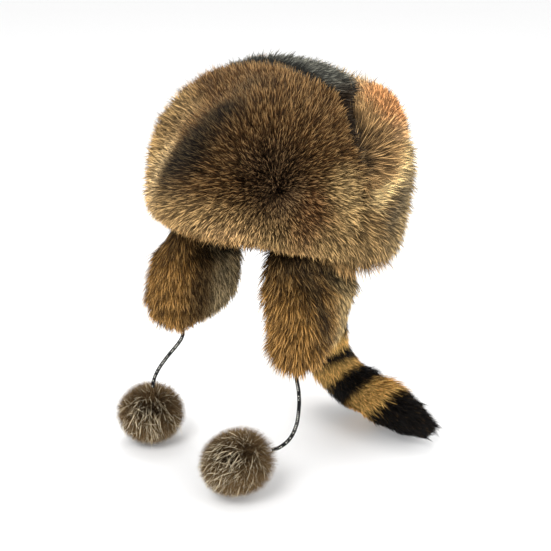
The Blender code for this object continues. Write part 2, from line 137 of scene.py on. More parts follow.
# %% Shader maths
class Wire:
    """A socket of a material, with arithmetic that adds nodes."""

    def __init__(self, tree, socket):
        self.tree = tree
        self.socket = socket

    def node(self, kind, settings=None, **values):
        """Any node: its settings first, then its sockets, by name or by place as _0, _1."""
        made = self.tree.nodes.new(kind)
        for key, value in (settings or {}).items():
            setattr(made, key, value)
        for key, value in values.items():
            place = int(key[1:]) if key[0] == "_" else key.replace("_", " ")
            put(self.tree, made.inputs[place], value)
        return made

    def maths(self, operation, *values):
        made = self.node("ShaderNodeMath", {"operation": operation})
        for socket, value in zip(made.inputs, values):
            put(self.tree, socket, value)
        return Wire(self.tree, made.outputs[0])

    def __add__(self, other):
        return self.maths("ADD", self, other)

    __radd__ = __add__

    def __mul__(self, other):
        return self.maths("MULTIPLY", self, other)

    __rmul__ = __mul__

    def __sub__(self, other):
        return self.maths("SUBTRACT", self, other)

    def __rsub__(self, other):
        return self.maths("SUBTRACT", other, self)

    def wave(self):
        return self.maths("SINE", self)

    def fraction(self):
        return self.maths("FRACT", self)

    def step(self, low, high):
        """0 below low, 1 above high, smooth between."""
        made = self.node(
            "ShaderNodeMapRange", {"interpolation_type": "SMOOTHSTEP"},
            Value=self, From_Min=low, From_Max=high,
        )
        return Wire(self.tree, made.outputs[0])

    def tint(self, below, above):
        """A colour between two colours, by this share."""
        made = self.node("ShaderNodeMix", {"data_type": "RGBA"}, _0=self, _6=below, _7=above)
        return Wire(self.tree, made.outputs[2])

    def times_colour(self, colour):
        settings = {"data_type": "RGBA", "blend_type": "MULTIPLY"}
        made = self.node("ShaderNodeMix", settings, _0=1.0, _6=self, _7=colour)
        return Wire(self.tree, made.outputs[2])


# %% [markdown]
# ### Sockets, materials and patterns
# A value goes into a socket as a link, a colour or a number. Patterns read Object
# coordinates or an attribute, so that they stay on the piece.

# %% Sockets and materials
def put(tree, socket, value):
    if isinstance(value, Wire):
        tree.links.new(value.socket, socket)
    elif socket.type == "RGBA":
        socket.default_value = (*value, 1)[:4]
    else:
        socket.default_value = value


def new_finish(name):
    """A material, its Principled shader and a first wire on Object coordinates."""
    made = bpy.data.materials.new(name)
    made.use_nodes = True
    tree = made.node_tree
    shader = tree.nodes["Principled BSDF"]
    start = tree.nodes.new("ShaderNodeTexCoord")
    return made, shader, Wire(tree, start.outputs["Object"])


def attribute(wire, name, output="Fac"):
    found = wire.node("ShaderNodeAttribute", {"attribute_name": name})
    return Wire(wire.tree, found.outputs[output])


def noise(wire, scale, detail):
    made = wire.node("ShaderNodeTexNoise", Vector=wire, Scale=scale, Detail=detail)
    return Wire(wire.tree, made.outputs["Fac"])


def bumped(shader, wire, height, strength, distance):
    """A material's relief, in metres."""
    bump = wire.node("ShaderNodeBump", Height=height, Strength=strength, Distance=distance)
    put(wire.tree, shader.inputs["Normal"], Wire(wire.tree, bump.outputs[0]))


print("shader maths ready")

# %% [markdown]
# ## Hair colours
# Every hair is dark at its root, partly as its own dark base and partly as painted shade deep
# in the fur, has its own colour in the middle, and ends either in a pale or in a nearly black
# tip. Each hair carries the coat's colour where it grows, and a chance number of its own, as
# attributes, and all its colours are worked out from those.

# %% Hair finish
TIP_REACH = (0.62, 0.90)              # share of the way along, over which a tip takes its colour
NEARLY_BLACK = (0.016, 0.011, 0.008)
DARK_COAT = (0.006, 0.06)             # green light of fur so dark that fewer tips are pale
FUR_SHEEN = 0.08


def times(coat, light):
    """A coat's colour times one number."""
    return coat.times_colour((light,) * 3)


def fur_finish(
    name, pale, pale_share, dark_share, root_share=0.08, contrast=0.6, glow=2.4,
    shown=(0.4, 0.85), cream=0.4,
):
    """Hair with so large shares of pale and of dark tips. A root has root_share of the
    coat's light, and the coat shows in full from the second of the places in shown on."""
    made, shader, place = new_finish(name)
    coat = attribute(place, "coat", "Color")
    along = attribute(place, "along")
    pick = attribute(place, "pick")
    other_pick = (pick * 37.0).fraction()
    own = coat.times_colour(other_pick.tint((1 - contrast,) * 3, (1 + contrast,) * 3))
    # the root colour is partly the hair's own dark base and partly painted shade deep in the fur
    lit = along.step(*shown).tint(times(coat, root_share), own)
    tip = along.step(*TIP_REACH)
    green = Wire(place.tree, place.node("ShaderNodeSeparateColor", _0=coat).outputs[1])
    is_pale = 1 - pick.step(pale_share - 0.05, pale_share + 0.05)
    is_pale = is_pale * (0.45 + green.step(*DARK_COAT) * 0.55)
    is_dark = pick.step(0.95 - dark_share, 1.05 - dark_share)
    bright = coat.times_colour((glow, glow * 0.98, glow * 0.92))
    lit = (tip * is_pale * 0.9).tint(lit, (cream * tip).tint(bright, pale))
    lit = (tip * is_dark * 0.85).tint(lit, NEARLY_BLACK)
    put(place.tree, shader.inputs["Base Color"], lit)
    put(place.tree, shader.inputs["Roughness"], 0.45 + other_pick * 0.25)
    shader.inputs["Specular IOR Level"].default_value = FUR_SHEEN
    return made


def two_coats(name, pale, **values):
    """The finishes of the fine hair and of the guard hair."""
    return (
        fur_finish(name + ", fine hair", pale, 0.22, 0.40, contrast=0.85, glow=2.6, **values),
        fur_finish(name + ", guard hair", pale, 0.48, 0.36, contrast=0.7, glow=3.8, **values),
    )


def underfur_finish(name, shade):
    """Short woolly fur in the coat's colour, times shade: partly the underfur's own dark colour,
    partly painted shade between the locks.
    """
    made, shader, place = new_finish(name)
    coat = attribute(place, "coat", "Color")
    mottled = noise(place, 900, 3).step(0.3, 0.7)
    wool = mottled.tint(times(coat, shade * 0.5), times(coat, shade))
    put(place.tree, shader.inputs["Base Color"], wool)
    put(place.tree, shader.inputs["Roughness"], 0.8 + mottled * 0.15)
    bumped(shader, place, mottled, 0.6, 0.001)
    return made


print("hair finishes ready")

# %% [markdown]
# ## One hair
# Raccoon fur has two coats: dense fine hair below, and long guard hairs that stand out of
# it. Seen from a metre away a fine hair is one thin triangle, and a guard hair is a flat
# blade of three triangles, bent once and ending in a point.

# %% One hair
# share of the way up, share of the width, bend
FINE_LEVELS = ((0.0, 1.0, 0.0), (1.0, 0.0, 0.14))
GUARD_LEVELS = ((0.0, 0.8, 0.0), (0.6, 1.0, 0.07), (1.0, 0.0, 0.22))


def make_blade(name, levels):
    """A blade one unit long and one unit wide, that carries its share of the way along."""
    corners, along, faces = [], [], []
    for height, width, bend in levels:
        first = len(corners) - 2
        if corners:
            end = (first + 3, first + 2) if width else (first + 2,)
            faces.append((first, first + 1, *end))
        for side in (-0.5, 0.5) if width else (0,):
            corners.append((side * width, bend, height))
            along.append(height)
    mesh = bpy.data.meshes.new(name)
    mesh.from_pydata(corners, [], faces)
    mesh.attributes.new("along", "FLOAT", "POINT").data.foreach_set("value", along)
    return link(bpy.data.objects.new(name, mesh))


def triangles_in(mesh):
    return sum(len(polygon.vertices) - 2 for polygon in mesh.polygons)


blades = {
    "fine": make_blade("fine_hair", FINE_LEVELS),
    "guard": make_blade("guard_hair", GUARD_LEVELS),
}
for kind, blade in blades.items():
    print("one", kind, "hair has", triangles_in(blade.data), "triangles")

# %% [markdown]
# ## Growing the fur
# Geometry Nodes scatter points over a piece of underfur and stand a blade on each. The
# underfur's vertices say which way the fur is combed, how long it is and how flat it lies.
# Neighbouring hairs lean together to a shared point, which gathers the tips in locks.

# %% Tree helper
class Tree:
    """A Geometry Nodes tree, with short ways to add its nodes."""

    def __init__(self, name, taken, inputs, given_back):
        self.tree = bpy.data.node_groups.new(name, "GeometryNodeTree")
        face = self.tree.interface
        face.new_socket(taken, in_out="INPUT", socket_type="NodeSocketGeometry")
        for label, kind, value in inputs:
            made = face.new_socket(label, in_out="INPUT", socket_type=kind)
            if value is not None:
                made.default_value = value
        face.new_socket(given_back, in_out="OUTPUT", socket_type="NodeSocketGeometry")
        self.given = self.tree.nodes.new("NodeGroupInput").outputs

    def node(self, kind, settings=None, **values):
        made = self.tree.nodes.new(kind)
        for key, value in (settings or {}).items():
            setattr(made, key, value)
        for key, value in values.items():
            socket = made.inputs[int(key[1:]) if key[0] == "_" else key.replace("_", " ")]
            if isinstance(value, bpy.types.NodeSocket):
                self.tree.links.new(value, socket)
            else:
                socket.default_value = value
        return made.outputs

    def named(self, name, kind="FLOAT"):
        found = self.node("GeometryNodeInputNamedAttribute", {"data_type": kind}, Name=name)
        return found["Attribute"]

    def maths(self, operation, *values):
        numbered = {f"_{i}": value for i, value in enumerate(values)}
        return self.node("ShaderNodeMath", {"operation": operation}, **numbered)[0]

    def vectors(self, operation, *values):
        numbered = {f"_{i}": value for i, value in enumerate(values)}
        return self.node("ShaderNodeVectorMath", {"operation": operation}, **numbered)[0]

    def scale(self, vector, amount):
        settings = {"operation": "SCALE"}
        return self.node("ShaderNodeVectorMath", settings, _0=vector, Scale=amount)[0]

    def seed(self, more):
        return self.maths("ADD", self.given["Seed"], more)

    def chance(self, low, high, more):
        settings = {"data_type": "FLOAT"}
        values = {"_2": low, "_3": high, "Seed": self.seed(more)}
        return self.node("FunctionNodeRandomValue", settings, **values)[1]

    def scatter(self, density, seed):
        return self.node(
            "GeometryNodeDistributePointsOnFaces", {"distribute_method": "RANDOM"},
            Mesh=self.given["Underfur"], Density=density, Seed=seed,
        )


print("tree helper ready")

# %% [markdown]
# ### Which way a hair points
# A hair leans by its lay from the skin's outward direction towards the comb. Two kinds of
# disorder come on top: each hair strays by itself, and a slow drift turns whole tufts.

# %% Direction
DRIFT_SCALE, DRIFT_SHARE = 70.0, 3.0
MOST_ROLL = 0.7


def hair_heading(tree, outward, comb, lay, where):
    """The hair's direction, of length one."""
    unruly = tree.given["Unruliness"]
    stray = tree.node(
        "FunctionNodeRandomValue", {"data_type": "FLOAT_VECTOR"},
        _0=(-1, -1, -1), _1=(1, 1, 1), Seed=tree.given["Seed"],
    )[0]
    cloud = tree.node("ShaderNodeTexNoise", Vector=where, Scale=DRIFT_SCALE, Detail=2.0)["Color"]
    drift = tree.vectors("SUBTRACT", cloud, (0.5, 0.5, 0.5))
    stand = tree.scale(outward, tree.maths("COSINE", lay))
    heading = tree.vectors("ADD", stand, tree.scale(comb, tree.maths("SINE", lay)))
    heading = tree.vectors("ADD", heading, tree.scale(stray, unruly))
    drift = tree.scale(drift, tree.maths("MULTIPLY", unruly, DRIFT_SHARE))
    return tree.vectors("NORMALIZE", tree.vectors("ADD", heading, drift))


def hair_turn(tree, heading, outward, comb, lay):
    """The turn that points a blade along the heading and bends it towards the skin."""
    sunk = tree.scale(outward, tree.maths("MULTIPLY", tree.maths("SINE", lay), -1.0))
    settle = tree.vectors("ADD", tree.scale(comb, tree.maths("COSINE", lay)), sunk)
    turned = tree.node(
        "FunctionNodeAxesToRotation", {"primary_axis": "Z", "secondary_axis": "Y"},
        Primary_Axis=heading, Secondary_Axis=settle,
    )[0]
    roll = tree.node("ShaderNodeCombineXYZ", Z=tree.chance(-MOST_ROLL, MOST_ROLL, 11))[0]
    roll = tree.node("FunctionNodeEulerToRotation", Euler=roll)[0]
    settings = {"rotation_space": "LOCAL"}
    return tree.node("FunctionNodeRotateRotation", settings, Rotation=turned, Rotate_By=roll)[0]


print("hair directions ready")

# %% [markdown]
# ### How long a hair is, and which lock it joins
# A hair that stands up more than its neighbours is trimmed to the same height above the
# skin. A thinner scatter of points gives the locks: each hair's tip moves towards the
# nearest of them.

# %% Length and locks
LEAST_RISE = 0.15
WIDTH_RANGE = (0.6, 1.3)
GATHER_RANGE = (0.2, 1.0)


def hair_size(tree, heading, outward):
    """Width across, and length for the blade's bend and height."""
    settings = {"operation": "DOT_PRODUCT"}
    rise = tree.node("ShaderNodeVectorMath", settings, _0=heading, _1=outward)[1]
    rise = tree.maths("MAXIMUM", rise, LEAST_RISE)
    long = tree.maths("MINIMUM", tree.maths("DIVIDE", tree.named("high"), rise), tree.named("long"))
    long = tree.maths("MULTIPLY", long, tree.chance(tree.given["Shortest"], 1.0, 5))
    long = tree.maths("MULTIPLY", long, tree.given["Length share"])
    wide = tree.maths("MULTIPLY", tree.given["Hair width"], tree.chance(*WIDTH_RANGE, 7))
    return tree.node("ShaderNodeCombineXYZ", X=wide, Y=long, Z=long)[0]


def way_to_lock(tree, where):
    """How far each hair's tip moves towards its lock."""
    spacing = tree.maths("MULTIPLY", tree.given["Lock size"], tree.given["Lock size"])
    centres = tree.scatter(tree.maths("DIVIDE", 1.0, spacing), tree.seed(3))["Points"]
    settings = {"domain": "POINT"}
    nearest = tree.node("GeometryNodeSampleNearest", settings, Geometry=centres)[0]
    settings = {"data_type": "FLOAT_VECTOR", "domain": "POINT"}
    values = {"Geometry": centres, "Value": where, "Index": nearest}
    centre = tree.node("GeometryNodeSampleIndex", settings, **values)[0]
    share = tree.maths("MULTIPLY", tree.given["Gathering"], tree.chance(*GATHER_RANGE, 13))
    return tree.scale(tree.vectors("SUBTRACT", centre, where), share)


print("hair lengths and locks ready")

# %% [markdown]
# ### The whole tree
# The points keep each hair's lot and its way to the lock. After the blades are real
# meshes, their tips are drawn to the locks and the facts that no finish reads are dropped.

# %% Fur tree
FUR_INPUTS = (
    ("Hairs per area", "NodeSocketFloat", 1e6), ("Hair width", "NodeSocketFloat", 0.0008),
    ("Unruliness", "NodeSocketFloat", 0.2), ("Lock size", "NodeSocketFloat", 0.006),
    ("Gathering", "NodeSocketFloat", 0.5), ("Shortest", "NodeSocketFloat", 0.6),
    ("Length share", "NodeSocketFloat", 1.0), ("Seed", "NodeSocketInt", 1),
    ("Hair", "NodeSocketObject", None), ("Finish", "NodeSocketMaterial", None),
)


def drawn_to_locks(tree, fur):
    """The grown hair with its tips in locks, its spare facts dropped, and its finish."""
    along = tree.named("along")
    way = tree.scale(tree.named("gather", "FLOAT_VECTOR"), tree.maths("MULTIPLY", along, along))
    fur = tree.node("GeometryNodeSetPosition", Geometry=fur, Offset=way)[0]
    for name in ("comb", "lay", "long", "high", "dense", "gather"):
        fur = tree.node("GeometryNodeRemoveAttribute", Geometry=fur, Name=name)[0]
    fur = tree.node("GeometryNodeSetShadeSmooth", Geometry=fur, Shade_Smooth=True)[0]
    return tree.node("GeometryNodeSetMaterial", Geometry=fur, Material=tree.given["Finish"])[0]


def fur_tree():
    tree = Tree("combed fur", "Underfur", FUR_INPUTS, "Fur")
    density = tree.maths("MULTIPLY", tree.given["Hairs per area"], tree.named("dense"))
    scattered = tree.scatter(density, tree.given["Seed"])
    points, outward = scattered["Points"], scattered["Normal"]
    comb, lay = tree.named("comb", "FLOAT_VECTOR"), tree.named("lay")
    where = tree.node("GeometryNodeInputPosition")[0]
    heading = hair_heading(tree, outward, comb, lay, where)
    for name, kind, value in (
        ("pick", "FLOAT", tree.chance(0.0, 1.0, 17)),
        ("gather", "FLOAT_VECTOR", way_to_lock(tree, where)),
    ):
        settings = {"data_type": kind, "domain": "POINT"}
        values = {"Geometry": points, "Name": name, "Value": value}
        points = tree.node("GeometryNodeStoreNamedAttribute", settings, **values)[0]
    stood = tree.node(
        "GeometryNodeInstanceOnPoints", Points=points,
        Instance=tree.node("GeometryNodeObjectInfo", Object=tree.given["Hair"])["Geometry"],
        Rotation=hair_turn(tree, heading, outward, comb, lay),
        Scale=hair_size(tree, heading, outward),
    )[0]
    real = tree.node("GeometryNodeRealizeInstances", Geometry=stood)[0]
    done = drawn_to_locks(tree, real)
    tree.tree.links.new(done, tree.tree.nodes.new("NodeGroupOutput").inputs[0])
    return tree.tree


FUR_TREE = fur_tree()
FUR_SOCKETS = {
    item.name: item.identifier
    for item in FUR_TREE.interface.items_tree if item.in_out == "INPUT"
}
print("fur tree has", len(FUR_TREE.nodes), "nodes")

# %% [markdown]
# ### Growing it
# The tree grows on a copy of the underfur, and its result becomes a plain mesh.

# %% Grow
def grow(name, underfur, finish, kind, hairs, **sizes):
    """About so many hairs of one kind on a piece of underfur, as a plain mesh."""
    mesh = underfur.data
    mesh.calc_loop_triangles()
    share = np.zeros(len(mesh.vertices))
    mesh.attributes["dense"].data.foreach_get("value", share)
    area = sum(
        triangle.area * share[list(triangle.vertices)].mean() for triangle in mesh.loop_triangles
    )
    holder = link(bpy.data.objects.new(name, mesh.copy()))
    growing = holder.modifiers.new("fur", "NODES")
    growing.node_group = FUR_TREE
    sizes.update({"Hairs per area": hairs / area, "Hair": blades[kind], "Finish": finish})
    for label, value in sizes.items():
        growing[FUR_SOCKETS[label]] = value
    bpy.context.view_layer.update()
    seen = holder.evaluated_get(bpy.context.evaluated_depsgraph_get())
    grown = bpy.data.meshes.new_from_object(seen)
    holder.modifiers.clear()
    bpy.data.objects.remove(holder)
    grown.name = name
    print(name, "has", triangles_in(grown), "triangles on", round(area * 1e4, 1), "square cm")
    return link(bpy.data.objects.new(name, grown))


FINE_SIZES = {"Hair width": 0.0007, "Unruliness": 0.2, "Shortest": 0.55, "Length share": 0.86}
GUARD_SIZES = {
    "Hair width": 0.0008, "Unruliness": 0.26, "Shortest": 0.62, "Gathering": 0.5,
    "Length share": 1.12,
}
GUARD_SEED = 100    # a node's guard hair has its fine hair's seed and this


def grow_coats(node, underfur, finishes, fine, guard, seed):
    """The underfur, the fine hair and the guard hair of one node."""
    return [
        underfur,
        grow(node + "_hair", underfur, finishes[0], "fine", fine, Seed=seed, **FINE_SIZES),
        grow(
            node + "_guard_hair", underfur, finishes[1], "guard", guard,
            Seed=seed + GUARD_SEED, **GUARD_SIZES,
        ),
    ]


# %% [markdown]
# ## Underfur shapes
# The same named sizes as in the CAD model, so that each piece sits in its own solid.
# A skin is a closed loft; its vertices carry the way the fur is combed.

# %% Underfur helpers
LEAN = math.radians(9.0)
HIDE_HALF = (0.0885, 0.1020)
HIDE_HEIGHT = 0.138
HIDE_STRAIGHT = 0.030
HIDE_ROUNDNESS = 2.4
HIDE_WALL = 0.0025
HIDE_CLEARANCE = 0.0012    # between the hide and the fur round it
HIDE_SEAT = (HIDE_HALF[0] + HIDE_CLEARANCE, HIDE_HALF[1] + HIDE_CLEARANCE)
FUR_HALF_WIDTH = 0.124
FUR_HALF_LENGTH = 0.145
FUR_MIDDLE = 0.058
FUR_DOME = 0.110
FUR_SKIRT = 0.078
FRONT_LIFT = 0.026
FUR_ROUNDNESS = 2.1
SKIRT_TUCK = 0.10
DOME_SHARE = 0.68
SEAM_Y = -0.006
SEAM_SWEEP = 0.018
STRIP_REACH = 0.93
STRIP_HALF_WIDTH, STRIP_NARROW, STRIP_END = 0.022, 0.005, 0.0017
# shares of the half width, between which the seam sweeps forward, and the strip narrows
# and runs out
SEAM_SWEEPS, STRIP_NARROWS, STRIP_ENDS = (0.45, 0.90), (0.42, 0.70), (0.84, 0.98)


def ease(share):
    """0 below 0, 1 above 1, smooth between."""
    share = np.clip(share, 0.0, 1.0)
    return share * share * (3 - 2 * share)


def between(value, low, high):
    """0 below low, 1 above high, smooth between."""
    return ease((value - low) / (high - low))


def unit(vectors):
    vectors = np.asarray(vectors, float)
    return vectors / np.maximum(np.linalg.norm(vectors, axis=-1, keepdims=True), 1e-12)


def leaned(points):
    """Points of the upright crown, placed as the crown leans."""
    points = np.asarray(points, float)
    c, s = math.cos(-LEAN), math.sin(-LEAN)
    turn = np.array([[1, 0, 0], [0, c, -s], [0, s, c]])
    return points @ turn.T


def dome_over(x, y, half, foot, rise, roundness):
    ring = np.minimum(np.hypot(x / half[0], y / half[1]), 1.0)
    return foot + rise * (1 - ring**roundness) ** (1 / roundness)


def on_fur(x, y):
    height = dome_over(x, y, (FUR_HALF_WIDTH, FUR_HALF_LENGTH), FUR_MIDDLE, FUR_DOME, FUR_ROUNDNESS)
    return np.stack([x, y, height], -1)


def on_hide_seat(x, y):
    rise = HIDE_HEIGHT - HIDE_STRAIGHT
    height = dome_over(x, y, HIDE_SEAT, HIDE_STRAIGHT, rise, HIDE_ROUNDNESS)
    return np.stack([x, y, height + HIDE_CLEARANCE], -1)


def fur_outward(points):
    x, y, z = np.moveaxis(np.asarray(points, float), -1, 0)
    rise = np.maximum(z - FUR_MIDDLE, 0.0) / FUR_DOME**2
    return unit(np.stack([x / FUR_HALF_WIDTH**2, y / FUR_HALF_LENGTH**2, rise], -1))


def seam_y(reach):
    return SEAM_Y - SEAM_SWEEP * between(np.abs(reach), *SEAM_SWEEPS)


def strip_half_width(reach):
    narrowing = between(np.abs(reach), *STRIP_NARROWS)
    ending = between(np.abs(reach), *STRIP_ENDS)
    wide = STRIP_HALF_WIDTH + (STRIP_NARROW - STRIP_HALF_WIDTH) * narrowing
    return wide + (STRIP_END - wide) * ending


def skirt_foot(y):
    return FUR_MIDDLE - FUR_SKIRT + FRONT_LIFT * ease(-y / FUR_HALF_LENGTH)

print("hide", HIDE_HALF, "crown fur", (FUR_HALF_WIDTH, FUR_HALF_LENGTH))

# %% [markdown]
# ### A skin
# Rings of points joined up by four-sided faces, with a cap at each end. Its normals are
# made to point outwards, because the hair grows along them.

# %% Skin mesh
def skin_mesh(name, grid, facts, finish):
    """A closed surface through rings of points, with its facts as attributes."""
    rows, columns = grid.shape[:2]
    index = np.arange(rows * columns).reshape(rows, columns).tolist()
    faces = []
    for ring, later in zip(index, index[1:]):
        for c in range(columns):
            d = (c + 1) % columns
            faces.append((ring[c], ring[d], later[d], later[c]))
    faces += [index[0][::-1], index[-1]]
    mesh = bpy.data.meshes.new(name)
    mesh.from_pydata(grid.reshape(-1, 3).tolist(), [], faces)
    shell = bmesh.new()
    shell.from_mesh(mesh)
    bmesh.ops.recalc_face_normals(shell, faces=shell.faces[:])
    shell.to_mesh(mesh)
    shell.free()
    mesh.polygons.foreach_set("use_smooth", [True] * len(mesh.polygons))
    if "long" in facts:
        facts.setdefault("high", facts["long"])
    for fact, values in facts.items():
        values = np.asarray(values, float)
        if fact == "comb":
            kind, key, values = "FLOAT_VECTOR", "vector", unit(values)
        elif fact == "coat":
            kind, key = "FLOAT_COLOR", "color"
            values = np.concatenate([values, np.ones(values.shape[:-1] + (1,))], -1)
        else:
            kind, key = "FLOAT", "value"
        mesh.attributes.new(fact, kind, "POINT").data.foreach_set(key, values.ravel())
    mesh.materials.append(finish)
    return link(bpy.data.objects.new(name, mesh))


def mixed(below, above, share):
    share = np.asarray(share)[..., None]
    return np.asarray(below) * (1 - share) + np.asarray(above) * share


def tangent(vectors, normals):
    return vectors - normals * np.sum(vectors * normals, -1, keepdims=True)


print("skins ready")

# %% [markdown]
# ## Crown
# Two panels of long fur meet at the dark strip. The fur turns outwards from a whorl on the
# front's left corner and is combed down towards the lower edge. Round each ear it fans out.

# %% Crown colours
def linear(*code):
    """A colour as seen, 0 to 255, as the light it gives back."""
    code = np.array(code) / 255
    return np.where(code < 0.04045, code / 12.92, ((code + 0.055) / 1.055) ** 2.4)


COAT_BROWN = linear(150, 117, 74)
# painted shade for the ends of the strip, where they run into the creases
STRIP_END_SHADE = linear(70, 50, 30)
COAT_GREY = linear(92, 92, 84)
COAT_TOP = linear(90, 63, 34)
COAT_HEM = linear(150, 122, 80)
COAT_BACK = linear(150, 128, 90)
COAT_BESIDE_EAR = linear(172, 136, 90)
# painted shade: nearly black for the crease in front of each ear
CREASE_PAINTED_SHADE = linear(10, 9, 7)


def near(points, centre, reach):
    """1 at the centre, 0 from this reach on."""
    away = np.linalg.norm(points - np.asarray(centre), axis=-1)
    return 1 - ease(away / reach)


def near_line(points, start, end, reach):
    """1 on the line between two points, 0 from this reach on."""
    start, end = np.asarray(start), np.asarray(end)
    share = np.clip((points - start) @ (end - start) / np.sum((end - start) ** 2), 0, 1)
    foot = start + share[..., None] * (end - start)
    return 1 - ease(np.linalg.norm(points - foot, axis=-1) / reach)


# colour, from, to, reach, share: patches of other colour, painted one after the other
CROWN_PATCHES = (
    ((84, 64, 47), (0.089, -0.101, 0.055), (0.080, -0.105, 0.075), 0.045, 0.8),
    ((112, 74, 44), (0.108, -0.072, 0.050), (0.103, -0.080, 0.025), 0.026, 0.7),
    ((186, 158, 108), (0.114, -0.050, 0.062), (0.119, -0.035, 0.045), 0.030, 0.7),
    ((218, 190, 142), (-0.050, -0.133, 0.020), (-0.036, -0.138, 0.078), 0.024, 0.9),
    ((176, 146, 102), (-0.034, -0.138, 0.078), (-0.026, -0.113, 0.125), 0.020, 0.6),
    ((20, 15, 9), (-0.010, -0.143, 0.058), (0.016, -0.141, 0.082), 0.036, 1.0),
    ((20, 15, 9), (0.016, -0.141, 0.082), (0.034, -0.114, 0.122), 0.032, 1.0),
    ((36, 27, 16), (0.022, -0.085, 0.145), (0.030, -0.080, 0.145), 0.024, 0.8),
    ((176, 142, 98), (-0.070, -0.120, 0.030), (0.070, -0.122, 0.018), 0.028, 0.8),
    ((170, 140, 92), (-0.060, -0.125, 0.060), (-0.050, -0.100, 0.120), 0.035, 0.8),
    ((244, 216, 156), (0.118, 0.042, 0.090), (0.1235, -0.006, 0.055), 0.018, 1.0),
    ((90, 84, 70), (0.117, 0.055, 0.070), (0.122, 0.020, 0.035), 0.022, 0.7),
)
print("crown has", len(CROWN_PATCHES), "patches of other colour")

# %% [markdown]
# ### How the crown's fur lies
# On the whorl the hair stands. Away from it the hair lies flatter, and near the lower edge
# and behind it turns down. Beside the dark strip it stands up, so that the strip shows.

# %% Crown comb
WHORL = (0.089, -0.101, 0.055)
EAR_FAN = (0.1087, -0.006, 0.1136)    # the fur at an ear fans out from its lower front edge
FLATTEST = 54
WHORL_REACH, EAR_REACH = 0.13, 0.062


def ear_comb(points):
    """Up and back at an ear, and fanned out from its lower front edge."""
    return (points - np.array(EAR_FAN)) / 0.030 + np.array((-0.55, 0.55, 0.75))


def turned_to(normals, vectors):
    """Vectors laid in the skin, of length one."""
    return unit(tangent(vectors, normals) + 1e-9)


def crown_comb(points, normals, down, at_ear):
    """Out from the whorl, down at the lower edge and behind, fanned out at the ears."""
    out = turned_to(normals, points - np.array(WHORL))
    fall = turned_to(normals, np.broadcast_to((0.0, 0.0, -1.0), points.shape))
    behind = between(points[..., 1], 0.02, 0.10)
    falling = np.maximum(0.55 * ease(down * 1.2), 0.6 * behind)
    comb = unit(mixed(out, fall, falling))
    mirror = np.ones(points.shape)
    mirror[..., 0] = np.sign(points[..., 0] + 1e-9)
    fanned = turned_to(normals, ear_comb(points * mirror) * mirror)
    return unit(mixed(comb, fanned, ease(at_ear * 2.2)))


def hanging(y):
    """How far the fur hangs over the lower edge: 0 in front, 1 at the sides and behind."""
    return between(y, -0.065, -0.005)


def crown_lay(points, comb, down, side, from_edge, above):
    """Degrees from standing, in radians."""
    distance = np.linalg.norm(points - np.array(WHORL), axis=-1)
    lay = np.radians(FLATTEST * ease(distance / WHORL_REACH))
    room = np.arcsin(np.clip((np.maximum(from_edge, 0) - 0.002) / 0.036, 0, 1))
    crossing = np.maximum(comb[..., 1] * -side, 0) * above
    lay = lay + (np.minimum(lay, room) - lay) * ease(crossing * 3)
    hem_lay = np.radians(44 + 20 * hanging(points[..., 1]))
    return lay + (hem_lay - lay) * ease(down * 1.5 - 0.3) * ease(distance / 0.05)


print("crown comb ready")

# %% [markdown]
# ### Depth, length and colour of the crown's fur
# The skin lies well below the outline of the fur. Towards the lower edge the hair is
# shorter, so that it hangs no lower than it should.

# %% Crown depth, length and colour
ROOT_DEPTH, HEM_SHALLOWER = 0.016, 0.005
LONGEST, SHORTEST_AT_HEM = 0.036, 0.013
# where the outline is flatter on the front's far corner: from, to, reach, depth
FLATTER = ((-0.010, -0.095, 0.145), (-0.040, -0.135, 0.085), 0.070, 0.015)


def crown_coat(points, down, at_ear, from_edge, above, crease, in_crease):
    y = points[..., 1]
    coat = mixed(COAT_TOP, COAT_HEM, ease(down * 1.8 - 0.1))
    coat = mixed(coat, COAT_BACK, between(y, 0.005, 0.055))
    for colour, start, end, patch_reach, share in CROWN_PATCHES:
        patch = near_line(points, start, end, patch_reach) * share
        coat = mixed(coat, linear(*colour), patch)
    coat = mixed(coat, COAT_BESIDE_EAR, 0.75 * ease(at_ear * 2.5))
    # beside the strip the hair takes the strip's grey, darkened by 0.7 as painted shade along the
    # strip's edge
    by_strip = 0.7 * (1 - ease(from_edge / 0.008)) * (1 - in_crease) * above
    coat = mixed(coat, COAT_GREY * 0.7, by_strip)
    # painted shade: the crease between the panel and the ear is coloured nearly black
    return mixed(coat, CREASE_PAINTED_SHADE, crease)


